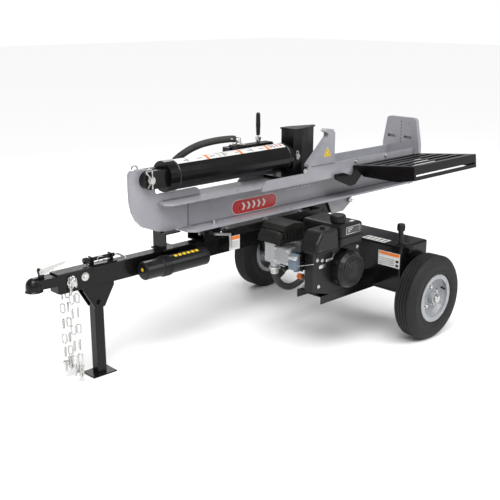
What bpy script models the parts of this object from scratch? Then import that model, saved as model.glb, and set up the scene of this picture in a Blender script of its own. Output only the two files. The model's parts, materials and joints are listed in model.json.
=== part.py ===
"""Towable log splitter: a beam with a ram and wedge, tilting on a wheeled oil tank.

Metres, +Z up. +X runs from the hitch to the foot plate, -Y is the engine's side.
The origin is on the ground, under the middle of the axle.
"""
import math
import bpy
import bmesh
from mathutils import Matrix, Vector

# ------------------------------------------------------------------ sizes
GAP = 0.0003            # between pieces that touch
BEAM_Y = 0.180          # plane of the tongue, beam and ram

TYRE_R = 0.203
TYRE_W = 0.115
RIM_R = 0.1155
WHEEL_Y = 0.545         # from the middle of the axle to the middle of a tyre
SPINDLE_R = 0.0125
HUB_R = 0.030

TANK_X0 = -0.120
TANK_X1 = 0.090
TANK_Z0 = 0.235
TANK_Z1 = 0.450
TANK_HALF = 0.472
TANK_WALL = 0.004
AXLE_BAR = 0.040
NECK_X = -0.085
NECK_Y = -0.440
NECK_R = 0.0125
NECK_TOP = 0.530

TONGUE_W = 0.054
TONGUE_H = 0.082
TONGUE_Z = 0.402        # underside
TONGUE_X = -1.545       # front end
TONGUE_WALL = 0.004

BEAM_X1 = 0.725         # rear end of the beam, front of the foot plate
BEAM_Z0 = 0.550
BEAM_Z1 = 0.700
FLANGE_HALF = 0.083
FLANGE_T = 0.010
WEB_T = 0.010
FOOT_T = 0.025
FOOT_TOP = 0.919
SIDE_T = 0.008

PIVOT_X = 0.232
PIVOT_Z = 0.522
PIVOT_R = 0.010
RAIL_TOP = 0.522

RAM_Z = 0.808           # centre line of the cylinder
BORE_R = 0.0572
BARREL_WALL = 0.0093
BARREL_R = BORE_R + BARREL_WALL
ROD_R = 0.0220
BARREL_X0 = -0.995
BARREL_X1 = -0.225
CLEVIS_X = -1.087
CLEVIS_PIN_R = 0.0125
WEDGE_BACK = -0.210
WEDGE_NOSE = -0.020
WEDGE_TOP = 0.940
WEDGE_PIN_X = -0.182
LUG_T = 0.020           # plate at the front of the beam that holds the clevis
LUG_Z0 = 0.562          # underside of that plate

CRANK_X = -0.439
CRANK_Z = 0.404
ENGINE_Z = 0.298        # mounting face
SHAFT_R = 0.0125

STAND_X = -1.363
STAND_PIVOT_Z = 0.325
STAND_TUBE = 0.044

LOCK_X = -0.760
LOCK_Z = 0.520
LOCK_R = 0.0065

TONGUE_TOP = TONGUE_Z + TONGUE_H

# ------------------------------------------------------------------ looks
LOOKS = {
    "black_paint": ((0.012, 0.012, 0.013), 0.38, 0.0),
    "grey_paint": ((0.30, 0.30, 0.32), 0.42, 0.0),
    "zinc": ((0.62, 0.62, 0.60), 0.32, 1.0),
    "chrome": ((0.80, 0.80, 0.82), 0.08, 1.0),
    "aluminium": ((0.42, 0.43, 0.44), 0.45, 1.0),
    "black_plastic": ((0.015, 0.015, 0.016), 0.45, 0.0),
    "rubber": ((0.018, 0.018, 0.018), 0.75, 0.0),
    "dark_steel": ((0.05, 0.05, 0.05), 0.5, 0.6),
    "grey_rim": ((0.32, 0.33, 0.35), 0.38, 0.2),
    "orange_plastic": ((0.75, 0.20, 0.03), 0.4, 0.0),
}


def look(name):
    """Principled material with the named colour, roughness and metallic value."""
    if name in bpy.data.materials:
        return bpy.data.materials[name]
    colour, roughness, metallic = LOOKS[name]
    material = bpy.data.materials.new(name)
    material.use_nodes = True
    shader = material.node_tree.nodes["Principled BSDF"]
    shader.inputs["Base Color"].default_value = (*colour, 1.0)
    shader.inputs["Roughness"].default_value = roughness
    shader.inputs["Metallic"].default_value = metallic
    return material


# ------------------------------------------------------------------ shapes
def block(x0, x1, y0, y1, z0, z1, edge=0.0):
    """Box between two corners, its edges rounded by edge."""
    bm = bmesh.new()
    bmesh.ops.create_cube(bm, size=1.0)
    size = Matrix.Diagonal((x1 - x0, y1 - y0, z1 - z0, 1.0))
    centre = Vector(((x0 + x1) / 2, (y0 + y1) / 2, (z0 + z1) / 2))
    bm.transform(Matrix.Translation(centre) @ size)
    if edge:
        bmesh.ops.bevel(bm, geom=bm.edges[:], offset=edge, offset_type="OFFSET", segments=2,
                        profile=0.5, affect="EDGES", material=-1)
    return bm


def bar(start, end, radius, sides=16, end_radius=None):
    """Round bar or cone from start to end."""
    start, end = Vector(start), Vector(end)
    run = end - start
    bm = bmesh.new()
    last = radius if end_radius is None else end_radius
    bmesh.ops.create_cone(bm, cap_ends=True, segments=sides, radius1=radius, radius2=last, depth=run.length)
    turn = Vector((0, 0, 1)).rotation_difference(run.normalized()).to_matrix().to_4x4()
    bm.transform(Matrix.Translation((start + end) / 2) @ turn)
    return bm


def plate(outline, axis, low, high):
    """Flat outline pushed along an axis: (y, z) for X, (x, z) for Y, (x, y) for Z."""
    place = {"X": lambda a, b: (low, a, b),
             "Y": lambda a, b: (a, low, b),
             "Z": lambda a, b: (a, b, low)}[axis]
    push = Vector({"X": (1, 0, 0), "Y": (0, 1, 0), "Z": (0, 0, 1)}[axis]) * (high - low)
    bm = bmesh.new()
    face = bm.faces.new([bm.verts.new(place(*point)) for point in outline])
    grown = bmesh.ops.extrude_face_region(bm, geom=[face])
    moved = [item for item in grown["geom"] if isinstance(item, bmesh.types.BMVert)]
    bmesh.ops.translate(bm, verts=moved, vec=push)
    bmesh.ops.recalc_face_normals(bm, faces=bm.faces[:])
    return bm


def turned(profile, centre, axis, steps=20):
    """Closed profile of (radius, along) points spun about an axis through centre.

    An edge that lies on the axis itself makes no surface, so it is left out.
    """
    bm = bmesh.new()
    ring = [bm.verts.new((radius, 0.0, along)) for radius, along in profile]
    pairs = [(ring[i - 1], ring[i]) for i in range(len(ring))]
    edges = [bm.edges.new(pair) for pair in pairs if any(v.co.x > 0 for v in pair)]
    bmesh.ops.spin(bm, geom=ring + edges, cent=(0, 0, 0), axis=(0, 0, 1), angle=math.tau,
                   steps=steps, use_merge=True)
    bmesh.ops.remove_doubles(bm, verts=bm.verts[:], dist=0.00001)
    bmesh.ops.recalc_face_normals(bm, faces=bm.faces[:])
    turn = Vector((0, 0, 1)).rotation_difference(Vector(axis)).to_matrix().to_4x4()
    bm.transform(Matrix.Translation(centre) @ turn)
    return bm


def arc(cx, cz, radius, first, last, steps=8):
    """Points along an arc, angles in degrees."""
    turn = [math.radians(first + (last - first) * i / steps) for i in range(steps + 1)]
    return [(cx + radius * math.cos(a), cz + radius * math.sin(a)) for a in turn]


def put(name, bm):
    mesh = bpy.data.meshes.new(name)
    bm.to_mesh(mesh)
    bm.free()
    item = bpy.data.objects.new(name, mesh)
    bpy.context.scene.collection.objects.link(item)
    return item


def piece(name, material, shape, adds=(), cuts=(), origin=None):
    """One named solid: a shape, what is joined to it and what is cut from it."""
    item = put(name, shape)
    for operation, shapes in (("UNION", adds), ("DIFFERENCE", cuts)):
        for index, other in enumerate(shapes):
            tool = put(f"{name}_{operation.lower()}_{index}", other)
            tool.hide_render = True
            tool.display_type = "WIRE"
            step = item.modifiers.new(f"{operation.lower()} {index}", "BOOLEAN")
            step.operation = operation
            step.object = tool
    item.data.materials.append(look(material))
    item.data.shade_smooth()
    item.data.set_sharp_from_angle(angle=math.radians(30))
    if origin is not None:
        item.data.transform(Matrix.Translation(-Vector(origin)))
        item.location = origin
    return item


def hose(name, material, points, radius, bevel=2):
    """Round hose through a list of points."""
    curve = bpy.data.curves.new(name, "CURVE")
    curve.dimensions = "3D"
    curve.bevel_depth = radius
    curve.bevel_resolution = bevel
    curve.use_fill_caps = True
    path = curve.splines.new("POLY")
    path.points.add(len(points) - 1)
    for knot, point in zip(path.points, points):
        knot.co = (*point, 1.0)
    path.use_smooth = True
    item = bpy.data.objects.new(name, curve)
    bpy.context.scene.collection.objects.link(item)
    curve.materials.append(look(material))
    return item


def smooth_path(knots, steps=2):
    """Catmull-Rom points through the knots."""
    knots = [Vector(k) for k in knots]
    ends = [2 * knots[0] - knots[1]] + knots + [2 * knots[-1] - knots[-2]]
    points = []
    for i in range(1, len(ends) - 2):
        a, b, c, d = ends[i - 1:i + 3]
        for k in range(steps):
            t = k / steps
            points.append(0.5 * (2 * b + (c - a) * t + (2 * a - 5 * b + 4 * c - d) * t * t
                                 + (3 * b - a - 3 * c + d) * t ** 3))
    points.append(knots[-1])
    return points


def route(start, knots, end):
    """Smooth path through the knots, with straight ends square to what they meet."""
    return [Vector(start)] + smooth_path(knots) + [Vector(end)]


for old in list(bpy.data.objects):
    bpy.data.objects.remove(old, do_unlink=True)


# ------------------------------------------------------------------ chassis
def tongue():
    half = TONGUE_W / 2
    wall = TONGUE_WALL
    rear = TANK_X0 - GAP
    inner = block(TONGUE_X - 0.01, rear + 0.01, BEAM_Y - half + wall, BEAM_Y + half - wall,
                  TONGUE_Z + wall, TONGUE_TOP - wall)
    outer = block(TONGUE_X, rear, BEAM_Y - half, BEAM_Y + half, TONGUE_Z, TONGUE_TOP)
    chain_hole = bar((CHAIN_X, BEAM_Y - 0.05, CHAIN_Z), (CHAIN_X, BEAM_Y + 0.05, CHAIN_Z),
                     CHAIN_BOLT_R + 0.0005)
    piece("tongue_tube", "black_paint", outer, cuts=[inner, chain_hole])


BALL_X = -1.647
BALL_Z = 0.4575
SOCKET_R = 0.0256
DOME_R = 0.0330
CHAIN_X = -1.490
CHAIN_Z = 0.440
CHAIN_BOLT_R = 0.006
CHANNEL_T = 0.0045
LATCH_X = -1.612
LATCH_Z = 0.5090


def coupler():
    """Ball socket with a neck and a channel over the tongue's front end."""
    side = TONGUE_W / 2 + GAP + CHANNEL_T
    top = TONGUE_TOP + GAP + CHANNEL_T
    front, rear = TONGUE_X - 0.012, TONGUE_X + 0.150
    channel = block(front, rear, BEAM_Y - side, BEAM_Y + side, TONGUE_Z + 0.004, top, 0.002)
    hollow = block(TONGUE_X - GAP, rear + 0.01, BEAM_Y - side + CHANNEL_T, BEAM_Y + side - CHANNEL_T,
                   TONGUE_Z - 0.01, TONGUE_TOP + GAP)
    neck = plate([(BALL_X, BEAM_Y - 0.026), (front + 0.004, BEAM_Y - side), (front + 0.004, BEAM_Y + side),
                  (BALL_X, BEAM_Y + 0.026)], "Z", BALL_Z - 0.016, BALL_Z + 0.024)
    dome = turned([(0.0, DOME_R)] + [(DOME_R * math.sin(a), DOME_R * math.cos(a)) for a in
                                     [math.radians(d) for d in range(18, 91, 18)]]
                  + [(DOME_R, -0.018), (DOME_R + 0.004, -0.024), (0.0, -0.024)],
                  (BALL_X, BEAM_Y, BALL_Z), (0, 0, 1), 16)
    socket = turned([(0.0, SOCKET_R)] + [(SOCKET_R * math.sin(a), SOCKET_R * math.cos(a)) for a in
                                         [math.radians(d) for d in range(18, 91, 18)]]
                    + [(SOCKET_R, -0.04), (0.0, -0.04)], (BALL_X, BEAM_Y, BALL_Z), (0, 0, 1), 14)
    holes = [bar((x, BEAM_Y - 0.05, z), (x, BEAM_Y + 0.05, z), radius, 14)
             for x, z, radius in ((CHAIN_X, CHAIN_Z, CHAIN_BOLT_R + 0.0005), (-1.430, 0.455, 0.0065))]
    ears = block(LATCH_X - 0.010, LATCH_X + 0.010, BEAM_Y - 0.0085, BEAM_Y + 0.0085, BALL_Z + 0.018,
                 LATCH_Z + 0.006, 0.001)
    piece("coupler", "black_paint", channel, [neck, dome, ears], [hollow, socket, *holes])


def coupler_latch():
    """Bent lever over the socket: two cheeks beside the ear and a thumb plate."""
    y_in, y_out = 0.0095, 0.0125
    x, z = LATCH_X, LATCH_Z
    outline = [(x - 0.010, z - 0.010), (x + 0.020, z - 0.010), (x + 0.050, z + 0.004),
               (x + 0.104, z + 0.016),
               (x + 0.106, z + 0.026), (x - 0.004, z + 0.016), (x - 0.012, z + 0.006)]
    lever = plate(outline, "Y", BEAM_Y - y_out, BEAM_Y + y_out)
    inside = plate([(x - 0.03, z - 0.03), (x + 0.12, z - 0.03), (x + 0.12, z + 0.023),
                    (x + 0.01, z + 0.0125),
                    (x - 0.03, z + 0.0125)], "Y", BEAM_Y - y_in, BEAM_Y + y_in)
    piece("coupler_latch", "zinc", lever, cuts=[inside], origin=(LATCH_X, BEAM_Y, LATCH_Z))


def chain_bolt():
    head = bar((CHAIN_X, BEAM_Y - 0.050, CHAIN_Z), (CHAIN_X, BEAM_Y - 0.043, CHAIN_Z), 0.011, 6)
    shank = bar((CHAIN_X, BEAM_Y - 0.048, CHAIN_Z), (CHAIN_X, BEAM_Y + 0.052, CHAIN_Z), CHAIN_BOLT_R)
    nut = bar((CHAIN_X, BEAM_Y + 0.044, CHAIN_Z), (CHAIN_X, BEAM_Y + 0.052, CHAIN_Z), 0.011, 6)
    piece("chain_bolt", "zinc", shank, [head, nut])


def chain(name, y, length):
    """Doubled strand of chain that hangs from the bolt."""
    wire = 0.0045
    spread = 0.014
    top = CHAIN_Z - 0.010
    low = top - length
    eye = [(CHAIN_X + 0.0125 * math.cos(a), y, CHAIN_Z + 0.0125 * math.sin(a))
           for a in [math.radians(d) for d in range(-30, 211, 24)]]
    right = [(CHAIN_X + spread, y, top - 0.03), (CHAIN_X + spread, y, low + spread)]
    bend = [(CHAIN_X + spread * math.cos(a), y, low + spread + spread * math.sin(a))
            for a in [math.radians(d) for d in range(-20, -161, -20)]]
    left = [(CHAIN_X - spread, y, low + spread), (CHAIN_X - spread, y, top - 0.03)]
    loop = right + bend + left + list(reversed(eye))
    item = hose(name, "zinc", loop, wire, 1)
    item.data.splines[0].use_cyclic_u = True
    item.data.use_fill_caps = False
    return item


def tank():
    shell = block(TANK_X0, TANK_X1, -TANK_HALF, TANK_HALF, TANK_Z0, TANK_Z1, 0.010)
    w = TANK_WALL
    inside = block(TANK_X0 + w, TANK_X1 - w, -TANK_HALF + w, TANK_HALF - w, TANK_Z0 + w, TANK_Z1 - w, 0.006)
    neck = bar((NECK_X, NECK_Y, TANK_Z1 - 0.003), (NECK_X, NECK_Y, NECK_TOP), NECK_R, 24)
    neck_hole = bar((NECK_X, NECK_Y, TANK_Z1 - 0.03), (NECK_X, NECK_Y, NECK_TOP + 0.01), NECK_R - 0.003, 16)
    tab = block(-0.095, -0.055, -TANK_HALF - 0.030, -TANK_HALF + 0.010, TANK_Z1 - 0.030, TANK_Z1 - 0.004,
                0.002)
    tab_hole = bar((-0.075, -TANK_HALF - 0.014, TANK_Z1 - 0.06),
                   (-0.075, -TANK_HALF - 0.014, TANK_Z1 + 0.02), 0.006, 14)
    piece("oil_tank", "black_paint", shell, [tab, neck], [inside, neck_hole, tab_hole])


def filler():
    cap = turned([(0.0, 0.020), (0.016, 0.020), (0.018, 0.017), (0.018, -0.012), (NECK_R + 0.0008, -0.012),
                  (NECK_R + 0.0008, GAP), (0.0, GAP)], (NECK_X, NECK_Y, NECK_TOP), (0, 0, 1), 24)
    piece("filler_cap", "black_plastic", cap, origin=(NECK_X, NECK_Y, NECK_TOP))


def axle():
    half = AXLE_BAR / 2
    rail = block(-half, half, -TANK_HALF, TANK_HALF, TYRE_R - half, TYRE_R + half)
    pads = [block(-0.035, 0.035, y - 0.03, y + 0.03, TYRE_R, TANK_Z0 - GAP) for y in (-0.40, 0.0, 0.40)]
    spindle = bar((0, -WHEEL_Y - 0.052, TYRE_R), (0, WHEEL_Y + 0.052, TYRE_R), SPINDLE_R)
    piece("axle", "black_paint", rail, [*pads, spindle])


def wheel(name, side):
    """Tyre open to its rim, and a dished rim with hub and bore."""
    r, half = TYRE_R, TYRE_W / 2
    bead, seat = 0.100, 0.045
    side_in = [(bead, seat), (RIM_R + 0.001, seat + 0.0015), (0.130, half - 0.002), (0.150, half),
               (0.178, half - 0.004), (0.195, half - 0.014), (r - 0.001, 0.030)]
    outer = [(a, -b) for a, b in side_in] + [(r, 0.0)] + side_in[::-1]
    wall = [(bead, seat - 0.010), (0.130, half - 0.014), (0.175, half - 0.016), (0.190, 0.028)]
    inner = wall + [(0.193, 0.0)] + [(a, -b) for a, b in wall[::-1]]
    centre = (0.0, side * WHEEL_Y, TYRE_R)
    axis = (0, side, 0)
    piece(f"tyre_{name}", "rubber", turned(outer + inner, centre, axis), origin=centre)
    low = bead - GAP
    lip, face = seat + 0.0025, seat + 0.0055
    bore = SPINDLE_R + 0.0004
    rim = [(low, -lip), (low, lip), (RIM_R, lip), (RIM_R, face), (low - 0.005, face), (low - 0.005, 0.036),
           (0.080, 0.018), (0.060, 0.012), (HUB_R + 0.008, 0.020), (HUB_R, 0.024), (HUB_R - 0.002, 0.050),
           (bore, 0.050), (bore, -0.030), (HUB_R, -0.030), (HUB_R, 0.012), (0.060, 0.006), (0.080, 0.012),
           (low - 0.005, 0.030), (low - 0.005, -face), (RIM_R, -face), (RIM_R, -lip)]
    piece(f"rim_{name}", "grey_rim", turned(rim, centre, axis), origin=centre)


def hinge_rail():
    """Wide rail on the tongue, with a foot on the tank and two ears for the beam's hinge."""
    x0, x1 = -0.700, -0.0195
    y0, y1 = BEAM_Y - 0.060, BEAM_Y + 0.060
    base = TONGUE_TOP + GAP
    rail = block(x0, x1, y0, y1, base, RAIL_TOP, 0.003)
    hollow = block(x0 - 0.01, -0.115, y0 + 0.005, y1 - 0.005, base - 0.01, RAIL_TOP - 0.005)
    foot = block(-0.110, 0.045, BEAM_Y - 0.035, BEAM_Y + 0.035, TANK_Z1 + GAP, base + 0.010)
    outline = [(-0.060, base + 0.002), (0.085, base - 0.014), (0.222, PIVOT_Z - 0.0175)] + arc(
        PIVOT_X, PIVOT_Z, 0.020, -60, 90, 6) + [(-0.060, PIVOT_Z + 0.020)]
    ears = [plate(outline, "Y", BEAM_Y + side * 0.025 - 0.005,
                  BEAM_Y + side * 0.025 + 0.005) for side in (-1, 1)]
    bore = bar((PIVOT_X, BEAM_Y - 0.05, PIVOT_Z), (PIVOT_X, BEAM_Y + 0.05, PIVOT_Z), PIVOT_R + 0.0004, 16)
    piece("hinge_rail", "black_paint", rail, [foot, *ears], [hollow, bore])
    pin = bar((PIVOT_X, BEAM_Y - 0.050, PIVOT_Z), (PIVOT_X, BEAM_Y + 0.050, PIVOT_Z), PIVOT_R, 16)
    heads = [bar((PIVOT_X, BEAM_Y + side * 0.0455, PIVOT_Z), (PIVOT_X, BEAM_Y + side * 0.052, PIVOT_Z),
                 0.015, 6) for side in (-1, 1)]
    piece("hinge_pin", "zinc", pin, heads)


def rest_bracket():
    """Bent plate on the tongue that the beam's front lies on."""
    low, high = TONGUE_TOP + GAP, LUG_Z0 - GAP
    t = 0.006
    outline = [(-1.035, low), (-0.945, low), (-0.945, low + t), (-1.015, low + t), (-1.015, high - t),
               (-0.935, high - t), (-0.935, high), (-1.021, high), (-1.021, low + t), (-1.035, low + t)]
    piece("rest_bracket", "black_paint", plate(outline, "Y", BEAM_Y - 0.045, BEAM_Y + 0.045))


def lock_bracket():
    low = TONGUE_TOP + GAP
    base = block(LOCK_X - 0.05, LOCK_X + 0.05, BEAM_Y - 0.060, BEAM_Y + 0.060, low, low + 0.006)
    walls = [block(LOCK_X - 0.05, LOCK_X + 0.05, BEAM_Y + side * 0.057 - 0.003,
                   BEAM_Y + side * 0.057 + 0.003,
                   low, 0.546) for side in (-1, 1)]
    bore = bar((LOCK_X, BEAM_Y - 0.08, LOCK_Z), (LOCK_X, BEAM_Y + 0.08, LOCK_Z), LOCK_R + 0.0004, 18)
    piece("lock_bracket", "black_paint", base, walls, [bore])
    near = BEAM_Y - 0.078
    pin = bar((LOCK_X, near, LOCK_Z), (LOCK_X, BEAM_Y + 0.072, LOCK_Z), LOCK_R, 18)
    arm = bar((LOCK_X - 0.003, near + LOCK_R, LOCK_Z), (LOCK_X + 0.100, near + LOCK_R, LOCK_Z - 0.020),
              LOCK_R, 14)
    grip = bar((LOCK_X + 0.096, near + LOCK_R, LOCK_Z - 0.017),
               (LOCK_X + 0.100, near + LOCK_R, LOCK_Z - 0.075),
               LOCK_R, 14)
    piece("lock_pin", "zinc", pin, [arm, grip], origin=(LOCK_X, BEAM_Y, LOCK_Z))


def canister():
    """Round case for papers on the tongue's near side, with a cap."""
    r, y, z = 0.041, BEAM_Y - TONGUE_W / 2 - 0.0470, 0.431
    wall = 0.003
    split = -1.050
    tube = turned([(r - wall, 0.0), (r, 0.0), (r, 0.226), (r - 0.006, 0.232), (0.0, 0.232), (0.0, 0.228),
                   (r - 0.009, 0.228), (r - wall, 0.222)], (split, y, z), (1, 0, 0))
    saddle = [block(x, x + 0.03, y + 0.030, BEAM_Y - TONGUE_W / 2 - GAP, z - 0.012, z + 0.012)
              for x in (-1.03, -0.89)]
    bore = bar((split - 0.01, y, z), (split + 0.220, y, z), r - wall, 24)
    piece("paper_canister", "black_plastic", tube, saddle, [bore])
    cap = turned([(r + 0.0012, 0.018), (r + 0.0012, -GAP), (0.0, -GAP), (0.0, -0.122), (r - 0.006, -0.122),
                  (r, -0.116), (r, -0.030), (r + 0.004, -0.026), (r + 0.004, 0.018)], (split, y, z),
                  (1, 0, 0))
    piece("canister_cap", "black_plastic", cap, origin=(split, y, z))


def stand():
    """Cheeks under the tongue and a square leg that folds up between them."""
    top = TONGUE_Z - GAP
    half = STAND_TUBE / 2
    cheek_out = half + 0.0065
    outline = [(STAND_X - 0.075, top), (STAND_X - 0.075, top - 0.012),
               (STAND_X - 0.024, STAND_PIVOT_Z - 0.022),
               (STAND_X + 0.024, STAND_PIVOT_Z - 0.022), (STAND_X + 0.075, top - 0.012),
               (STAND_X + 0.075, top)]
    cheeks = [plate(outline, "Y", BEAM_Y + side * (cheek_out - 0.003) - 0.003,
                    BEAM_Y + side * (cheek_out - 0.003) + 0.003) for side in (-1, 1)]
    web = block(STAND_X - 0.075, STAND_X + 0.075, BEAM_Y - cheek_out + 0.002, BEAM_Y + cheek_out - 0.002,
                top - 0.006, top)
    leg_top = STAND_PIVOT_Z + 0.034
    leg = block(STAND_X - half, STAND_X + half, BEAM_Y - half, BEAM_Y + half, 0.004, leg_top, 0.003)
    inside = block(STAND_X - half + 0.003, STAND_X + half - 0.003, BEAM_Y - half + 0.003,
                   BEAM_Y + half - 0.003,
                   0.0065, leg_top + 0.01)
    foot = block(STAND_X - 0.0595, STAND_X + 0.0595, BEAM_Y - 0.045, BEAM_Y + 0.045, 0.0, 0.0055, 0.0015)
    piece("stand_leg", "black_paint", leg, [foot], [inside, bar((STAND_X, BEAM_Y - 0.06, STAND_PIVOT_Z),
          (STAND_X, BEAM_Y + 0.06, STAND_PIVOT_Z), 0.0069, 18)], origin=(STAND_X, BEAM_Y, STAND_PIVOT_Z))
    pin = bar((STAND_X, BEAM_Y - 0.040, STAND_PIVOT_Z), (STAND_X, BEAM_Y + 0.040, STAND_PIVOT_Z), 0.0065, 18)
    head = bar((STAND_X, BEAM_Y - 0.040, STAND_PIVOT_Z), (STAND_X, BEAM_Y - 0.0295, STAND_PIVOT_Z), 0.011, 6)
    piece("stand_bracket", "black_paint", web, [*cheeks, pin, head])


tongue()
coupler()
coupler_latch()
chain_bolt()
chain("chain_near", BEAM_Y - 0.0375, 0.385)
chain("chain_far", BEAM_Y + 0.0378, 0.370)
tank()
filler()
axle()
wheel("near", -1)
wheel("far", 1)
hinge_rail()
rest_bracket()
lock_bracket()
canister()
stand()


# ------------------------------------------------------------------ engine and pump
CASE_X = 0.095          # half width of the crankcase
CASE_Y0 = -0.345
CASE_Y1 = -0.240
CASE_TOP = 0.500
PLATE_X0 = -0.578
PLATE_X1 = -0.212
PLATE_Y0 = -0.390
PLATE_Y1 = -0.245
FACE_Y = -0.392         # front of the blower housing
HEAD_Y0 = -0.305
HEAD_Y1 = -0.205
HEAD_X0 = -0.645
DIP_X = -0.589          # mouth of the oil dipstick's hole
DIP_Y = -0.275
DIP_Z = 0.368
FUEL_X = -0.463         # fuel cap
FUEL_Y = -0.375
FUEL_Z0 = 0.508
FUEL_Z1 = 0.612
PUMP_Y0 = -0.060


def engine_base():
    base = block(PLATE_X0, PLATE_X1, PLATE_Y0, PLATE_Y1, ENGINE_Z - 0.005, ENGINE_Z)
    skirts = [block(PLATE_X0, PLATE_X1, y, y + 0.005, ENGINE_Z - 0.036, ENGINE_Z - 0.001)
              for y in (PLATE_Y0, PLATE_Y1 - 0.005)]
    arms = [block(-0.300, TANK_X0 - GAP, y, y + 0.028, ENGINE_Z - 0.036, ENGINE_Z - 0.002) for y in (-0.372,
        -0.290)]
    piece("engine_plate", "black_paint", base, [*skirts, *arms])


def engine():
    """Crankcase with its dipstick, finned head, valve cover, blower, recoil starter and shaft."""
    cx, cz = CRANK_X, CRANK_Z
    case = block(cx - CASE_X, cx + CASE_X, CASE_Y0, CASE_Y1, ENGINE_Z + GAP, CASE_TOP, 0.010)
    feet = [block(cx - 0.110, cx + 0.110, y, y + 0.034, ENGINE_Z + GAP, ENGINE_Z + 0.012) for y in (-0.340,
        -0.281)]
    shaft_bore = bar((cx, -0.50, cz), (cx, -0.10, cz), SHAFT_R + 0.0006, 24)
    root = Vector((cx - 0.060, DIP_Y, ENGINE_Z + 0.030))
    mouth = Vector((DIP_X, DIP_Y, DIP_Z))
    run = (mouth - root).normalized()
    dip_boss = bar(root, mouth, 0.013, 16)
    dip_bore = bar(mouth + run * 0.03, mouth - run * 0.025, 0.0085, 16)
    piece("crankcase", "aluminium", case, [*feet, dip_boss], [shaft_bore, dip_bore])
    stem = bar(mouth - run * 0.018, mouth + run * 0.006, 0.0080, 14)
    knob = bar(mouth + run * GAP * 2, mouth + run * 0.012, 0.013, 12)
    piece("dipstick", "orange_plastic", knob, [stem], origin=tuple(mouth))

    side = cx - CASE_X - GAP
    fins = [block(HEAD_X0, side, HEAD_Y0 - 0.015, HEAD_Y1 + 0.015, z, z + 0.004)
            for z in [0.4125 + 0.012 * i for i in range(8)]]
    head = block(HEAD_X0 + 0.008, side, HEAD_Y0, HEAD_Y1, 0.410, 0.504)
    piece("cylinder_head", "aluminium", head, fins)
    piece("valve_cover", "aluminium", block(HEAD_X0 - 0.045, HEAD_X0 - GAP, HEAD_Y0, HEAD_Y1, 0.440, 0.520,
                                            0.008))

    shroud = plate([(cx - 0.20, 0.3300), (cx - 0.09, 0.300)] + arc(cx, cz, 0.125, -55, 54, 10)
                   + [(cx - 0.085, CASE_TOP + 0.006), (cx - 0.20, CASE_TOP + 0.006)], "Y", FACE_Y,
                   CASE_Y0 - 0.0005)
    well = bar((cx, -0.41, cz), (cx, -0.340, cz), 0.074, 24)
    piece("blower_housing", "black_plastic", shroud, cuts=[well])
    recoil = turned([(0.078, 0.0), (0.084, 0.0), (0.084, 0.040), (0.074, 0.058), (0.030, 0.060),
                     (0.0, 0.060),
                     (0.0, 0.056), (0.070, 0.054), (0.078, 0.038)], (cx, FACE_Y - 0.0005, cz), (0, -1, 0))
    piece("recoil_cover", "black_plastic", recoil)
    handle = block(cx - 0.094, cx - 0.054, -0.408, -0.3965, 0.488, 0.503, 0.003)
    cord = bar((cx - 0.056, -0.402, 0.491), (cx - 0.050, -0.402, 0.484), 0.003, 10)
    piece("recoil_handle", "black_plastic", handle, [cord], origin=(cx - 0.074, -0.402, 0.4955))
    shaft = bar((cx, -0.380, cz), (cx, -0.075, cz), SHAFT_R, 16)
    jaw = bar((cx, -0.150, cz), (cx, -0.100, cz), 0.026, 20)
    fan = bar((cx, -0.380, cz), (cx, -0.350, cz), 0.068, 24)
    piece("crankshaft", "dark_steel", shaft, [jaw, fan], origin=(cx, -0.2, cz))


def engine_top():
    """Fuel tank, air cleaner, levers and muffler guard."""
    cx = CRANK_X
    x0, x1, y0, y1 = cx - 0.066, cx + 0.084, -0.430, -0.200
    tank_shape = block(x0, x1, y0, y1, FUEL_Z0, FUEL_Z1, 0.014)
    w = 0.003
    tank_inside = block(x0 + w, x1 - w, y0 + w, y1 - w, FUEL_Z0 + w, FUEL_Z1 - w, 0.011)
    mouth_hole = bar((FUEL_X, FUEL_Y, FUEL_Z1 - 0.03), (FUEL_X, FUEL_Y, FUEL_Z1 + 0.03), 0.016, 20)
    neck = turned([(0.016, -0.006), (0.020, -0.006), (0.020, 0.010), (0.016, 0.010)],
                  (FUEL_X, FUEL_Y, FUEL_Z1),
                  (0, 0, 1))
    piece("fuel_tank", "black_paint", tank_shape, [neck], [tank_inside, mouth_hole])
    cap = turned([(0.0, 0.036), (0.030, 0.036), (0.033, 0.032), (0.033, 0.004), (0.0208, 0.004),
                  (0.0208, 0.0105),
                  (0.0, 0.0105)], (FUEL_X, FUEL_Y, FUEL_Z1), (0, 0, 1))
    piece("fuel_cap", "black_plastic", cap, origin=(FUEL_X, FUEL_Y, FUEL_Z1 + 0.010))

    cover = plate([(-0.662, FUEL_Z0), (-0.656, 0.552), (-0.618, 0.603), (-0.520, 0.606),
                   (-0.5085, FUEL_Z0)], "Y",
                  -0.428, -0.332)
    bmesh.ops.bevel(cover, geom=cover.edges[:], offset=0.010, offset_type="OFFSET", segments=2, profile=0.5,
                    affect="EDGES", material=-1)
    piece("air_cleaner", "black_plastic", cover)
    piece("throttle_lever", "zinc", block(-0.562, -0.518, -0.3995, -0.3945, 0.455, 0.468, 0.002),
          origin=(-0.523, -0.3945, 0.4615))
    piece("choke_lever", "black_plastic", block(-0.690, -0.640, -0.3315, -0.3255, 0.478, 0.490, 0.002),
          origin=(-0.645, -0.3255, 0.484))

    low = 0.526
    guard = plate([(-0.700, low), (-0.695, 0.550), (-0.660, 0.604), (-0.610, 0.611), (-0.548, 0.602),
                   (-0.545, low)],
                  "Y", -0.250, -0.115)
    room = plate([(-0.696, low - 0.01), (-0.691, 0.549), (-0.658, 0.600), (-0.610, 0.607), (-0.552, 0.598),
                  (-0.549, low - 0.01)], "Y", -0.246, -0.119)
    slots = [block(x, x + 0.010, -0.27, -0.09, 0.542, 0.582) for x in [-0.678 + 0.022 * i for i in range(6)]]
    piece("muffler_guard", "dark_steel", guard, cuts=[room, *slots])


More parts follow.
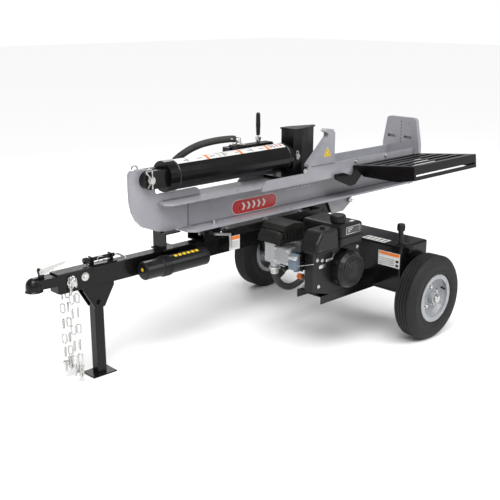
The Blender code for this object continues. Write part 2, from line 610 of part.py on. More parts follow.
def pump():
    cx, cz = CRANK_X, CRANK_Z
    length = PUMP_Y0 - CASE_Y1 - 0.001
    adapter = turned([(0.030, 0.0), (0.070, 0.0), (0.070, 0.010), (0.052, 0.016), (0.048, length - 0.019),
                      (0.060, length - 0.012), (0.060, length), (SHAFT_R + 0.001, length),
                      (SHAFT_R + 0.001, length - 0.010), (0.040, length - 0.014), (0.044, 0.014)],
                     (cx, CASE_Y1 + 0.0005, cz), (0, 1, 0))
    window = block(cx - 0.02, cx + 0.02, -0.140, -0.085, cz + 0.02, cz + 0.09)
    piece("pump_adapter", "aluminium", adapter, cuts=[window])
    body = block(cx - 0.045, cx + 0.045, PUMP_Y0, 0.060, cz - 0.060, cz + 0.050, 0.006)
    inlet = bar((cx - 0.02, 0.015, cz - 0.050), (cx - 0.02, 0.015, cz - 0.082), 0.020, 20)
    outlet = bar((cx + 0.03, 0.015, cz), (cx + 0.072, 0.015, cz), 0.012, 16)
    shaft_room = bar((cx, -0.08, cz), (cx, -0.04, cz), SHAFT_R + 0.001, 20)
    piece("gear_pump", "aluminium", body, [inlet, outlet], [shaft_room])


PRESSURE_SPLIT = 0.292  # where the pressure hose meets its beam half, on the hinge axis
RETURN_SPLIT = 0.400    # the same for the return hose


def chassis_hoses():
    cx, cz = CRANK_X, CRANK_Z
    inlet_x, inlet_y, inlet_z = cx - 0.02, 0.015, cz - 0.082
    suction = route((inlet_x, inlet_y, inlet_z - GAP),
                    [(inlet_x, inlet_y, inlet_z - 0.010), (inlet_x + 0.006, inlet_y, inlet_z - 0.050),
                     (inlet_x + 0.045, inlet_y - 0.003, inlet_z - 0.102), (cx + 0.090, 0.010, cz - 0.208),
                     (cx + 0.170, 0.005, cz - 0.185), (TANK_X0 - 0.085, 0.001, 0.262),
                     (TANK_X0 - 0.035, 0.0, 0.2780), (TANK_X0 - 0.012, 0.0, 0.2780)],
                    (TANK_X0 - GAP, 0.0, 0.2780))
    hose("suction_hose", "rubber", suction, 0.0165)
    outlet = (cx + 0.072 + GAP, 0.015, cz)
    pressure = route(outlet, [(cx + 0.085, 0.015, cz), (cx + 0.140, 0.032, cz - 0.016),
                              (cx + 0.190, 0.100, 0.374),
                              (-0.200, 0.190, 0.370), (-0.168, 0.250, 0.390), (-0.155, 0.270, 0.430),
                              (-0.135, 0.268, 0.475), (-0.080, 0.261, 0.498), (0.000, 0.256, 0.506),
                              (0.090, 0.256, 0.515), (0.165, 0.257, PIVOT_Z - 0.002),
                              (0.210, 0.263, PIVOT_Z),
                              (PIVOT_X - 0.003, 0.275, PIVOT_Z), (PIVOT_X, PRESSURE_SPLIT - 0.008, PIVOT_Z)],
                     (PIVOT_X, PRESSURE_SPLIT - GAP, PIVOT_Z))
    hose("pressure_hose_low", "rubber", pressure, 0.0080)
    rx, ry = 0.020, 0.435
    back = route((rx, ry, TANK_Z1 + GAP),
                 [(rx, ry, TANK_Z1 + 0.010), (rx + 0.010, ry + 0.001, 0.490), (0.065, 0.437, 0.512),
                  (0.125, 0.438, PIVOT_Z - 0.001), (0.185, 0.434, PIVOT_Z), (0.220, 0.423, PIVOT_Z),
                  (PIVOT_X, RETURN_SPLIT + 0.008, PIVOT_Z)], (PIVOT_X, RETURN_SPLIT + GAP, PIVOT_Z))
    hose("return_hose_low", "rubber", back, 0.0090)


engine_base()
engine()
engine_top()
pump()
chassis_hoses()


# ------------------------------------------------------------------ beam
def beam():
    y = BEAM_Y
    half = FLANGE_HALF
    outline = [(-1.055, 0.578), (-0.996, LUG_Z0), (-0.860, LUG_Z0), (-0.860, 0.680), (-0.785, 0.693),
               (-0.790, 0.722), (-0.805, RAM_Z - BARREL_R - 0.0075), (-1.020, RAM_Z - BARREL_R - 0.0075),
               (-1.040, 0.742), (-1.044, 0.775)] + arc(
                   CLEVIS_X, RAM_Z, 0.045, 0, 90, 5) + arc(-1.146, 0.830, 0.027, 95, 180, 5) + [
                   (-1.174, 0.770), (-1.172, 0.716), (-1.163, 0.672), (-1.143, 0.632), (-1.112, 0.600)]
    lug = plate(outline, "Y", y - LUG_T / 2, y + LUG_T / 2)
    web = block(-0.880, BEAM_X1 - GAP, y - WEB_T / 2, y + WEB_T / 2, BEAM_Z0 + 0.005, BEAM_Z1 - 0.005)
    top = plate([(-1.030, y - half + 0.03), (-1.000, y - half), (BEAM_X1 - GAP, y - half),
                 (BEAM_X1 - GAP, y + half),
                 (-1.000, y + half), (-1.030, y + half - 0.03)], "Z", BEAM_Z1 - FLANGE_T, BEAM_Z1)
    bottom = plate([(-0.905, y - half + 0.03), (-0.875, y - half), (BEAM_X1 - GAP, y - half),
                    (BEAM_X1 - GAP, y + half), (-0.875, y + half), (-0.905, y + half - 0.03)], "Z",
                   BEAM_Z0, BEAM_Z0 + FLANGE_T)
    gusset = [(0.050, BEAM_Z0 + 0.004), (0.095, 0.468), (0.185, 0.468)] + arc(
        PIVOT_X, PIVOT_Z, 0.020, -70, 0, 4) + [(0.256, BEAM_Z0 + 0.004)]
    cheeks = [plate(gusset, "Y", y + side * 0.036 - 0.005, y + side * 0.036 + 0.005) for side in (-1, 1)]
    tab = block(LOCK_X - 0.030, LOCK_X + 0.030, y - 0.008, y + 0.008, 0.505, BEAM_Z0 + 0.004)
    slot = block(LOCK_X - 0.0095, LOCK_X + 0.0095, y - 0.02, y + 0.02, 0.49, LOCK_Z + 0.012)
    pin_bore = bar((PIVOT_X, y - 0.08, PIVOT_Z), (PIVOT_X, y + 0.08, PIVOT_Z), PIVOT_R + 0.0004, 16)
    clevis_bore = bar((CLEVIS_X, y - 0.05, RAM_Z), (CLEVIS_X, y + 0.05, RAM_Z), CLEVIS_PIN_R + 0.0004, 16)
    piece("beam", "grey_paint", web, [lug, top, bottom, *cheeks, tab], [slot, pin_bore, clevis_bore])


STRIPPER_X1 = 0.045
SIDE_TOP = 0.753


def side_plate(name, side):
    y0 = BEAM_Y + side * (FLANGE_HALF + GAP)
    y1 = y0 + side * SIDE_T
    outline = [(-0.472, 0.675), (BEAM_X1 - GAP, 0.675), (BEAM_X1 - GAP, SIDE_TOP), (-0.150, SIDE_TOP),
               (-0.165, 0.725), (-0.440, 0.725), (-0.466, 0.700)]
    piece(f"side_plate_{name}", "grey_paint", plate(outline, "Y", min(y0, y1), max(y0, y1)))
    base = SIDE_TOP + GAP
    shape = [(-0.148, base), (STRIPPER_X1, base), (STRIPPER_X1, 0.905), (0.030, 0.925), (-0.020, 0.932),
             (-0.034, 0.922), (-0.006, 0.905), (-0.010, 0.890), (-0.148, base + 0.012)]
    fin = plate(shape, "Y", min(y0, y1), max(y0, y1))
    inner = BEAM_Y + side * (FLANGE_HALF - 0.024)
    strut = plate([(-0.148, base), (-0.120, base), (0.012, 0.880), (0.030, 0.925), (-0.020, 0.932),
                   (-0.034, 0.922),
                   (-0.006, 0.905), (-0.010, 0.890), (-0.148, base + 0.012)],
                  "Y", min(inner, y1), max(inner, y1))
    piece(f"stripper_{name}", "grey_paint", fin, [strut])


def foot_plate():
    y = BEAM_Y
    r = 0.020
    outline = [(y - 0.085, BEAM_Z0), (y - 0.085, 0.724), (y - 0.125, 0.726), (y - 0.125, 0.770),
               (y - 0.100, FOOT_TOP - r)]
    outline += arc(y - 0.100 + r, FOOT_TOP - r, r, 180, 90, 4) + arc(y + 0.102 - r, FOOT_TOP - r, r, 90, 0,
        4)
    outline += [(y + 0.125, 0.770), (y + 0.125, 0.726), (y + 0.085, 0.724), (y + 0.085, BEAM_Z0)]
    shape = plate(outline, "X", BEAM_X1, BEAM_X1 + FOOT_T)
    pockets = [block(BEAM_X1 - 0.01, BEAM_X1 + FOOT_T - 0.010, y + c - 0.027, y + c + 0.027, 0.801, 0.816)
               for c in (-0.047, 0.066)]
    piece("foot_plate", "grey_paint", shape, cuts=pockets)


TABLE_X0 = 0.190
TABLE_X1 = 0.750
TABLE_REACH = 0.390
TABLE_TILT = math.radians(-6.2)
TABLE_Z = 0.715         # top of the shelf where it meets the beam


def log_table():
    """Slotted shelf beside the beam, a little higher at its outer edge."""
    edge = BEAM_Y - FLANGE_HALF - SIDE_T - 2 * GAP
    low, high = -0.065, 0.006
    inner_low = -0.022
    y1 = -0.004
    deck = block(TABLE_X0 + 0.001, TABLE_X1 - 0.001, -TABLE_REACH + 0.001, y1 - 0.001, 0.0, high)
    skirt = [(y1, inner_low), (y1, 0.003), (-TABLE_REACH + 0.0015, 0.003),
             (-TABLE_REACH + 0.0015, low + 0.0015)]
    gusset = [(y1, -0.008), (y1, 0.003), (-TABLE_REACH + 0.0015, 0.003),
              (-TABLE_REACH + 0.0015, low + 0.0015),
              (-0.282, low - 0.009), (-0.071, -0.052), (-0.027, -0.016)]
    front = plate(gusset, "X", TABLE_X0, TABLE_X0 + 0.006)
    rear = plate(skirt, "X", TABLE_X1 - 0.006, TABLE_X1)
    outer = block(TABLE_X0 + 0.001, TABLE_X1 - 0.001, -TABLE_REACH, -TABLE_REACH + 0.006, low, 0.0034)
    lip = block(TABLE_X0 + 0.002, TABLE_X1 - 0.002, -TABLE_REACH + 0.002, -TABLE_REACH + 0.030, low + 0.001,
                low + 0.007)
    inner = block(TABLE_X0 + 0.002, TABLE_X1 - 0.002, y1 - 0.007, y1 - 0.001, inner_low + 0.001, 0.0035)
    pitch = (TABLE_REACH - 0.045) / 5
    slots = [block(TABLE_X0 + 0.035, TABLE_X1 - 0.035, -TABLE_REACH + 0.038 + pitch * i,
                   -TABLE_REACH + 0.038 + pitch * i + 0.042, -0.02, 0.03) for i in range(5)]
    slots.append(block(TABLE_X0 + 0.016, TABLE_X1 - 0.016, -TABLE_REACH - 0.01, -TABLE_REACH + 0.012,
                       -0.046, -0.037))
    arm = plate([(0.035, -0.022), (0.035, -0.048), (0.150, -0.098), (0.190, -0.094), (0.245, -0.052),
                 (0.245, -0.001),
                 (0.193, -0.001), (0.193, -0.022), (0.165, -0.044), (0.100, -0.022)], "Y", -0.0135, -0.0065)
    place = Matrix.Translation((0.0, edge, TABLE_Z)) @ Matrix.Rotation(TABLE_TILT, 4, "X")
    for shape in (deck, front, rear, outer, lip, inner, arm, *slots):
        shape.transform(place)
    piece("log_table", "black_paint", deck, [front, rear, outer, lip, inner, arm], slots)


PORT_X = BARREL_X0 + 0.150
PORT_OUT = BARREL_R + 0.0135  # outer face of the port, from the cylinder's centre line


def cylinder():
    y, z = BEAM_Y, RAM_Z
    length = BARREL_X1 - BARREL_X0
    profile = [(0.0, 0.0), (BARREL_R + 0.003, 0.0), (BARREL_R + 0.003, 0.050), (BARREL_R, 0.053),
               (BARREL_R, length - 0.024), (BARREL_R - 0.004, length - 0.020), (BARREL_R - 0.004, length),
               (ROD_R + 0.0004, length), (ROD_R + 0.0004, length - 0.030), (BORE_R, length - 0.032),
               (BORE_R, 0.052), (0.0, 0.052)]
    barrel = turned(profile, (BARREL_X0, y, z), (1, 0, 0))
    tines = []
    for side in (-1, 1):
        a, b = y + side * (LUG_T / 2 + 0.001), y + side * 0.044
        outline = [(BARREL_X0 + 0.004, z - 0.038), (BARREL_X0 + 0.004, z + 0.038)] + arc(
            CLEVIS_X, z, 0.040, 80, 280, 8)
        tines.append(plate(outline, "Y", min(a, b), max(a, b)))
    bore = bar((CLEVIS_X, y - 0.06, z), (CLEVIS_X, y + 0.06, z), CLEVIS_PIN_R + 0.0004, 16)
    port = block(PORT_X - 0.022, PORT_X + 0.022, y + BARREL_R - 0.0085, y + PORT_OUT, z - 0.010, z + 0.030,
                 0.003)
    hollow = bar((BARREL_X0 + 0.0525, y, z), (BARREL_X1 - 0.0325, y, z), BORE_R - 0.0001, 20)
    piece("cylinder", "black_paint", barrel, [*tines, port], [bore, hollow])
    pin = bar((CLEVIS_X, y - 0.056, z), (CLEVIS_X, y + 0.056, z), CLEVIS_PIN_R, 16)
    heads = [bar((CLEVIS_X, y + s * 0.0445, z), (CLEVIS_X, y + s * 0.050, z), 0.019, 16) for s in (-1, 1)]
    piece("clevis_pin", "zinc", pin, heads)


VALVE_X = -0.310
VALVE_Y = BEAM_Y + BARREL_R + 0.0385
SHOULDER = BARREL_R - 0.0415       # from the centre line to the port plate's inner edge
VALVE_Z = RAM_Z + math.sqrt(BARREL_R ** 2 - SHOULDER ** 2) - 0.027622
WORK_X = -0.493         # work port on top of the valve, over the barrel's far shoulder
WORK_Y = BEAM_Y + BARREL_R - 0.015
WORK_Z = VALVE_Z + 0.044


def valve():
    y, z = VALVE_Y, VALVE_Z
    body = block(VALVE_X - 0.215, VALVE_X + 0.080, y - 0.028, y + 0.028, z - 0.035, z + 0.030, 0.005)
    pad = block(VALVE_X - 0.110, VALVE_X - 0.030, BEAM_Y + BARREL_R + GAP, y - 0.025, z - 0.027, z - 0.007)
    port = block(WORK_X - 0.027, WORK_X + 0.027, BEAM_Y + SHOULDER, WORK_Y + 0.0385, z + 0.0285, WORK_Z,
                 0.002)
    stem = bar((VALVE_X - 0.02, y, z - 0.03), (VALVE_X - 0.02, y, z - 0.065), 0.012, 16)
    ear = block(VALVE_X - 0.004, VALVE_X + 0.004, y - 0.0035, y + 0.0035, z + 0.026, z + 0.043)
    boss = block(VALVE_X + 0.076, VALVE_X + 0.100, y - 0.018, y + 0.018, z - 0.018, z + 0.016, 0.003)
    piece("control_valve", "black_paint", body, [stem, ear, boss, pad, port])
    pivot = (VALVE_X, y, z + 0.038)
    fork = [block(VALVE_X - 0.006, VALVE_X + 0.006, y + s * 0.008 - 0.003, y + s * 0.008 + 0.003, z + 0.034,
                  z + 0.054)
            for s in (-1, 1)]
    yoke = block(VALVE_X - 0.010, VALVE_X + 0.010, y - 0.011, y + 0.011, z + 0.046, z + 0.058)
    rod = bar((VALVE_X, y, z + 0.056), (VALVE_X, y, z + 0.158), 0.0045, 14)
    piece("valve_lever", "zinc", yoke, [*fork, rod], origin=pivot)
    grip = turned([(0.0048, 0.0), (0.0095, 0.002), (0.0115, 0.05), (0.0105, 0.105), (0.006, 0.112),
                   (0.0, 0.112),
                   (0.0, 0.093), (0.0048, 0.093)], (VALVE_X, y, z + 0.066), (0, 0, 1), 18)
    piece("lever_grip", "black_plastic", grip, origin=pivot)


def beam_hoses():
    port_y = BEAM_Y + PORT_OUT
    work = route((WORK_X, WORK_Y, WORK_Z + GAP),
                 [(WORK_X, WORK_Y, WORK_Z + 0.007), (WORK_X - 0.004, WORK_Y + 0.002, WORK_Z + 0.019),
                  (-0.512, WORK_Y + 0.0055, WORK_Z + 0.0295), (-0.540, WORK_Y + 0.0115, WORK_Z + 0.032),
                  (-0.610, 0.252, 0.917),
                  (-0.690, 0.262, 0.909),
                  (-0.750, 0.273, 0.892), (-0.800, 0.286, 0.866), (-0.832, 0.295, 0.840),
                  (-0.844, 0.289, 0.823), (PORT_X, port_y + 0.012, 0.818)],
                 (PORT_X, port_y + GAP, 0.818))
    hose("work_hose", "rubber", work, 0.0100)
    side = 0.335
    rise = route((PIVOT_X, PRESSURE_SPLIT + GAP, PIVOT_Z),
                 [(PIVOT_X, PRESSURE_SPLIT + 0.008, PIVOT_Z), (PIVOT_X - 0.006, 0.318, PIVOT_Z + 0.004),
                  (PIVOT_X - 0.035, side - 0.002, 0.535), (0.120, side, 0.570), (0.000, side, 0.620),
                  (-0.100, side, 0.690), (-0.160, side - 0.010, 0.770), (-0.180, VALVE_Y + 0.022, 0.822),
                  (-0.196, VALVE_Y + 0.004, 0.840), (VALVE_X + 0.110, VALVE_Y, VALVE_Z - 0.001)],
                 (VALVE_X + 0.100 + GAP, VALVE_Y, VALVE_Z - 0.001))
    hose("pressure_hose_high", "rubber", rise, 0.0080)
    side = 0.3585
    vx, vz = VALVE_X - 0.02, VALVE_Z - 0.065
    climb = route((PIVOT_X, RETURN_SPLIT - GAP, PIVOT_Z),
                  [(PIVOT_X, RETURN_SPLIT - 0.008, PIVOT_Z), (PIVOT_X - 0.006, 0.375, PIVOT_Z + 0.004),
                   (PIVOT_X - 0.035, side + 0.002, 0.535), (0.080, side, 0.570), (-0.080, side, 0.610),
                   (-0.220, side - 0.008, 0.640), (-0.310, side - 0.040, 0.690),
                   (vx, VALVE_Y + 0.008, 0.740),
                   (vx, VALVE_Y, vz - 0.010)], (vx, VALVE_Y, vz - GAP))
    hose("return_hose_high", "rubber", climb, 0.0090)


def ram():
    y, z = BEAM_Y, RAM_Z
    stem = bar((BARREL_X0 + 0.065, y, z), (WEDGE_PIN_X + 0.035, y, z), ROD_R, 20)
    head = bar((BARREL_X0 + 0.058, y, z), (BARREL_X0 + 0.095, y, z), BORE_R - 0.0011, 20)
    cross = bar((WEDGE_PIN_X, y - 0.05, z), (WEDGE_PIN_X, y + 0.05, z), 0.0084, 16)
    piece("piston_rod", "chrome", stem, [head], [cross])
    back, nose = WEDGE_BACK, WEDGE_NOSE
    outline = [(back, y - 0.042), (-0.150, y - 0.042), (-0.075, y - 0.016), (nose, y - 0.0015),
               (nose, y + 0.0015),
               (-0.075, y + 0.016), (-0.150, y + 0.042), (back, y + 0.042)]
    base_top = BEAM_Z1 + GAP + 0.016
    wedge = plate(outline, "Z", BEAM_Z1 + 0.004, WEDGE_TOP)
    slide = block(-0.300, nose + 0.004, y - 0.075, y + 0.075, BEAM_Z1 + GAP, base_top, 0.002)
    cap = plate([(back, y - 0.050), (-0.150, y - 0.050), (nose + 0.004, y - 0.008),
                 (nose + 0.004, y + 0.008),
                 (-0.150, y + 0.050), (back, y + 0.050)], "Z", WEDGE_TOP - 0.004, WEDGE_TOP + 0.004)
    socket = bar((back - 0.01, y, z), (WEDGE_PIN_X + 0.036, y, z), ROD_R + 0.0009, 20)
    cross_bore = bar((WEDGE_PIN_X, y - 0.06, z), (WEDGE_PIN_X, y + 0.06, z), 0.0084, 16)
    piece("wedge", "black_paint", slide, [wedge, cap], [socket, cross_bore])
    pin = bar((WEDGE_PIN_X, y - 0.054, z), (WEDGE_PIN_X, y + 0.054, z), 0.0080, 16)
    ends = [bar((WEDGE_PIN_X, y + s * 0.0425, z), (WEDGE_PIN_X, y + s * 0.048, z), 0.0130, 16) for s in (-1,
        1)]
    piece("wedge_pin", "zinc", pin, ends)


beam()
side_plate("near", -1)
side_plate("far", 1)
foot_plate()
log_table()
cylinder()
valve()
beam_hoses()
ram()
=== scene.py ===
"""Towable log splitter: finishes, small parts, floor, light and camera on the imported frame."""
import json
import math
import bpy
import bmesh
from mathutils import Matrix, Vector


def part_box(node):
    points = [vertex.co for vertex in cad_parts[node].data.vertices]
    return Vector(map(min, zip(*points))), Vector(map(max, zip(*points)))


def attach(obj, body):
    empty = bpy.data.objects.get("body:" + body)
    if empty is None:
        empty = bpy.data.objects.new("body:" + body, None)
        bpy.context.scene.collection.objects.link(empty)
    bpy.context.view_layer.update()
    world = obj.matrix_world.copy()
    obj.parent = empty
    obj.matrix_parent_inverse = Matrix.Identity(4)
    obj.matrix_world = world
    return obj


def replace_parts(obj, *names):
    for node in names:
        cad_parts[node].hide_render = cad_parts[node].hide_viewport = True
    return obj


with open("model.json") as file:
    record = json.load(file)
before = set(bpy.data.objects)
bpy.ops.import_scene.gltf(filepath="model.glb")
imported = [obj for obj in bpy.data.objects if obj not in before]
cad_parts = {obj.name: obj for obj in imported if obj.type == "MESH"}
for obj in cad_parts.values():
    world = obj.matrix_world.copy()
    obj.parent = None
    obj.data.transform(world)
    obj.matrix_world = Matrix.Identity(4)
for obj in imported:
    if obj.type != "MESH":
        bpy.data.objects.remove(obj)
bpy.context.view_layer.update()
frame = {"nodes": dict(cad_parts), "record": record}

# ------------------------------------------------------------------ camera
CAMERA_PLACE = (-3.194, -2.683, 1.512)
CAMERA_HEADING = 46.38      # degrees from +X towards +Y
CAMERA_DOWN = 16.11         # degrees below level
CAMERA_LENS = 60.26         # millimetres, on a 36 mm sensor


def camera():
    lens = bpy.data.cameras.new("camera")
    lens.lens = CAMERA_LENS
    lens.sensor_width = 36.0
    item = bpy.data.objects.new("camera", lens)
    item.location = CAMERA_PLACE
    item.rotation_euler = (math.radians(90.0 - CAMERA_DOWN), 0.0, math.radians(CAMERA_HEADING - 90.0))
    bpy.context.scene.collection.objects.link(item)
    bpy.context.scene.camera = item
    bpy.context.scene.render.resolution_x = 1000
    bpy.context.scene.render.resolution_y = 1000


camera()

# ------------------------------------------------------------------ places read from the frame
SPLITTER = frame["nodes"]
FOOT_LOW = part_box("foot_plate")[0]
TANK_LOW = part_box("oil_tank")[0]
TONGUE_LOW, TONGUE_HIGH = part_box("tongue_tube")
TYRE_LOW, TYRE_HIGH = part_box("tyre_near")
GUARD_LOW, GUARD_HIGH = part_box("muffler_guard")
CLEANER_LOW, CLEANER_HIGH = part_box("air_cleaner")
FUEL_LOW, FUEL_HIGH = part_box("fuel_tank")
COVER_LOW, COVER_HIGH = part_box("valve_cover")
RECOIL_LOW, RECOIL_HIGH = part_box("recoil_cover")
BLOWER_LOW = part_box("blower_housing")[0]
STRIPPER_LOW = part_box("stripper_near")[0]
RAIL_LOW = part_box("hinge_rail")[0]
BEAM_Y = (TONGUE_LOW.y + TONGUE_HIGH.y) / 2
TYRE_R = (TYRE_HIGH.z - TYRE_LOW.z) / 2
WHEEL_Y = -(TYRE_LOW.y + TYRE_HIGH.y) / 2
CRANK_X = (RECOIL_LOW.x + RECOIL_HIGH.x) / 2
CRANK_Z = (RECOIL_LOW.z + RECOIL_HIGH.z) / 2
CLEVIS_X, RAM_Z = -1.087, 0.808
BARREL_R = 0.0665           # outside of the cylinder's barrel
PORT_X, PORT_OUT = -0.845, 0.080    # port on the barrel's far side, out from its centre line
PIVOT = Vector((0.232, BEAM_Y, 0.522))
TANK_TOP = 0.450
RAIL_TOP = 0.522
RETURN_X, RETURN_Y = 0.020, 0.435   # return fitting on the tank
FILLER_X, FILLER_Y = -0.085, -0.440
GAP = 0.0003                # between pieces that touch
PRESSURE_SPLIT, RETURN_SPLIT = 0.292, 0.400     # where the hoses meet on the hinge axis
VALVE_X, VALVE_Y = -0.310, 0.285
WORK_PORT = Vector((-0.493, 0.2315, 0.886))
HAIR = 0.0004               # how far a stuck-on piece stands off what it lies on
STUCK = 0.001               # how far its back sinks in


# ------------------------------------------------------------------ shapes
def block(x0, x1, y0, y1, z0, z1, edge=0.0, segments=2):
    """Box between two corners, its edges rounded by edge."""
    bm = bmesh.new()
    bmesh.ops.create_cube(bm, size=1.0)
    size = Matrix.Diagonal((abs(x1 - x0), abs(y1 - y0), abs(z1 - z0), 1.0))
    bm.transform(Matrix.Translation(((x0 + x1) / 2, (y0 + y1) / 2, (z0 + z1) / 2)) @ size)
    if edge:
        bmesh.ops.bevel(bm, geom=bm.edges[:], offset=edge, offset_type="OFFSET", segments=segments,
                        profile=0.5, affect="EDGES", material=-1)
    return bm


def aim(axis):
    return Vector((0, 0, 1)).rotation_difference(Vector(axis).normalized()).to_matrix().to_4x4()


def bar(start, end, radius, sides=20, end_radius=None, edge=0.0):
    """Round bar or cone from start to end, its rims rounded by edge."""
    start, end = Vector(start), Vector(end)
    bm = bmesh.new()
    bmesh.ops.create_cone(bm, cap_ends=True, segments=sides, radius1=radius,
                          radius2=radius if end_radius is None else end_radius, depth=(end - start).length)
    if edge:
        rims = [e for e in bm.edges if any(len(f.verts) > 4 for f in e.link_faces)]
        bmesh.ops.bevel(bm, geom=rims, offset=edge, offset_type="OFFSET", segments=2, profile=0.5,
                        affect="EDGES", material=-1)
    bm.transform(Matrix.Translation((start + end) / 2) @ aim(end - start))
    return bm


def plate(outline, axis, low, high, edge=0.0):
    """Flat outline pushed along an axis: (y, z) for X, (x, z) for Y, (x, y) for Z."""
    place = {"X": lambda a, b: (low, a, b),
             "Y": lambda a, b: (a, low, b),
             "Z": lambda a, b: (a, b, low)}[axis]
    push = Vector({"X": (1, 0, 0), "Y": (0, 1, 0), "Z": (0, 0, 1)}[axis]) * (high - low)
    bm = bmesh.new()
    face = bm.faces.new([bm.verts.new(place(*point)) for point in outline])
    grown = bmesh.ops.extrude_face_region(bm, geom=[face])
    moved = [item for item in grown["geom"] if isinstance(item, bmesh.types.BMVert)]
    bmesh.ops.translate(bm, verts=moved, vec=push)
    bmesh.ops.recalc_face_normals(bm, faces=bm.faces[:])
    if edge:
        bmesh.ops.bevel(bm, geom=bm.edges[:], offset=edge, offset_type="OFFSET", segments=2, profile=0.5,
                        affect="EDGES", material=-1)
    return bm


def turned(profile, centre, axis, steps=48):
    """Closed profile of (radius, along) points spun about an axis through centre."""
    bm = bmesh.new()
    ring = [bm.verts.new((radius, 0.0, along)) for radius, along in profile]
    pairs = [(ring[i - 1], ring[i]) for i in range(len(ring))]
    edges = [bm.edges.new(pair) for pair in pairs if any(v.co.x > 0 for v in pair)]
    bmesh.ops.spin(bm, geom=ring + edges, cent=(0, 0, 0), axis=(0, 0, 1), angle=math.tau, steps=steps,
                   use_merge=True)
    bmesh.ops.remove_doubles(bm, verts=bm.verts[:], dist=0.00001)
    bmesh.ops.recalc_face_normals(bm, faces=bm.faces[:])
    bm.transform(Matrix.Translation(centre) @ aim(axis))
    return bm


def tube(points, radius, sides=12, closed=False):
    """Round wire swept along points by turning a ring at each of them."""
    points = [Vector(p) for p in points]
    count = len(points)
    bm = bmesh.new()
    rings = []
    side = None
    for i, point in enumerate(points):
        before = points[i - 1] if (i or closed) else point
        after = points[(i + 1) % count] if (i < count - 1 or closed) else point
        ahead = (after - before).normalized()
        if side is None:
            side = ahead.orthogonal().normalized()
        side = (side - ahead * side.dot(ahead)).normalized()
        up = ahead.cross(side)
        rings.append([bm.verts.new(point + radius * (side * math.cos(a) + up * math.sin(a)))
                      for a in [math.tau * k / sides for k in range(sides)]])
    pairs = list(zip(rings, rings[1:])) + ([(rings[-1], rings[0])] if closed else [])
    for one, two in pairs:
        shift = 0
        if closed and two is rings[0]:
            shift = min(range(sides), key=lambda s: (one[0].co - two[s].co).length)
        for k in range(sides):
            bm.faces.new((one[k], one[(k + 1) % sides], two[(k + 1 + shift) % sides],
                          two[(k + shift) % sides]))
    if not closed:
        bm.faces.new(rings[0][::-1])
        bm.faces.new(rings[-1])
    bmesh.ops.recalc_face_normals(bm, faces=bm.faces[:])
    return bm


def arc(cx, cz, radius, first, last, steps=8):
    """Points along an arc, angles in degrees."""
    turn = [math.radians(first + (last - first) * i / steps) for i in range(steps + 1)]
    return [(cx + radius * math.cos(a), cz + radius * math.sin(a)) for a in turn]


def hexagon(start, end, across):
    """Bolt head or nut, its far rim slightly chamfered."""
    bm = bar(start, end, across / math.sqrt(3.0), 6)
    bmesh.ops.bevel(bm, geom=bm.edges[:], offset=across * 0.05, offset_type="OFFSET", segments=1,
                    profile=0.5,
                    affect="EDGES", material=-1)
    return bm


def bolt(place, axis, across=0.013, height=0.006, washer=True):
    """Hexagon head on a washer, standing on place and facing along axis."""
    place, axis = Vector(place), Vector(axis).normalized()
    thick = across * 0.13
    shapes = [hexagon(place + axis * thick * 0.9, place + axis * (thick + height), across)]
    if washer:
        shapes.append(bar(place, place + axis * thick, across * 0.95, 20, edge=thick * 0.3))
    return shapes


def smooth_path(knots, steps=2):
    """Catmull-Rom points through the knots."""
    knots = [Vector(k) for k in knots]
    ends = [2 * knots[0] - knots[1]] + knots + [2 * knots[-1] - knots[-2]]
    points = []
    for i in range(1, len(ends) - 2):
        a, b, c, d = ends[i - 1:i + 3]
        for k in range(steps):
            t = k / steps
            points.append(0.5 * (2 * b + (c - a) * t + (2 * a - 5 * b + 4 * c - d) * t * t
                                 + (3 * b - a - 3 * c + d) * t ** 3))
    points.append(knots[-1])
    return points


def route(start, knots, end, steps=2):
    """Smooth path through the knots, with straight ends square to what they meet."""
    return [Vector(start)] + smooth_path(knots, steps) + [Vector(end)]


def add(name, body, material, *shapes, smooth=35.0):
    """One named piece made of its shapes, riding on a body of the frame."""
    mesh = bpy.data.meshes.new(name)
    whole = bmesh.new()
    for shape in shapes:
        part = bpy.data.meshes.new("part")
        shape.to_mesh(part)
        shape.free()
        whole.from_mesh(part)
        bpy.data.meshes.remove(part)
    whole.to_mesh(mesh)
    whole.free()
    item = bpy.data.objects.new(name, mesh)
    bpy.context.scene.collection.objects.link(item)
    mesh.materials.append(FINISH[material])
    item.data.shade_smooth()
    item.data.set_sharp_from_angle(angle=math.radians(smooth))
    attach(item, body)
    return item


# ------------------------------------------------------------------ shader groups
def new_group(name, inputs, outputs):
    """Empty node group with named number and colour sockets."""
    tree = bpy.data.node_groups.new(name, "ShaderNodeTree")
    for label, value in inputs:
        kind = "NodeSocketFloat" if isinstance(value, float) else "NodeSocketColor"
        socket = tree.interface.new_socket(name=label, in_out="INPUT", socket_type=kind)
        socket.default_value = value if isinstance(value, float) else (*value, 1.0)
    for label, kind in outputs:
        tree.interface.new_socket(name=label, in_out="OUTPUT", socket_type=kind)
    return tree, tree.nodes.new("NodeGroupInput"), tree.nodes.new("NodeGroupOutput")


def maths(tree, operation, first, second=None, clamp=False):
    node = tree.nodes.new("ShaderNodeMath")
    node.operation = operation
    node.use_clamp = clamp
    for index, value in enumerate((first, second)):
        if isinstance(value, (int, float)):
            node.inputs[index].default_value = value
        elif value is not None:
            tree.links.new(value, node.inputs[index])
    return node.outputs[0]


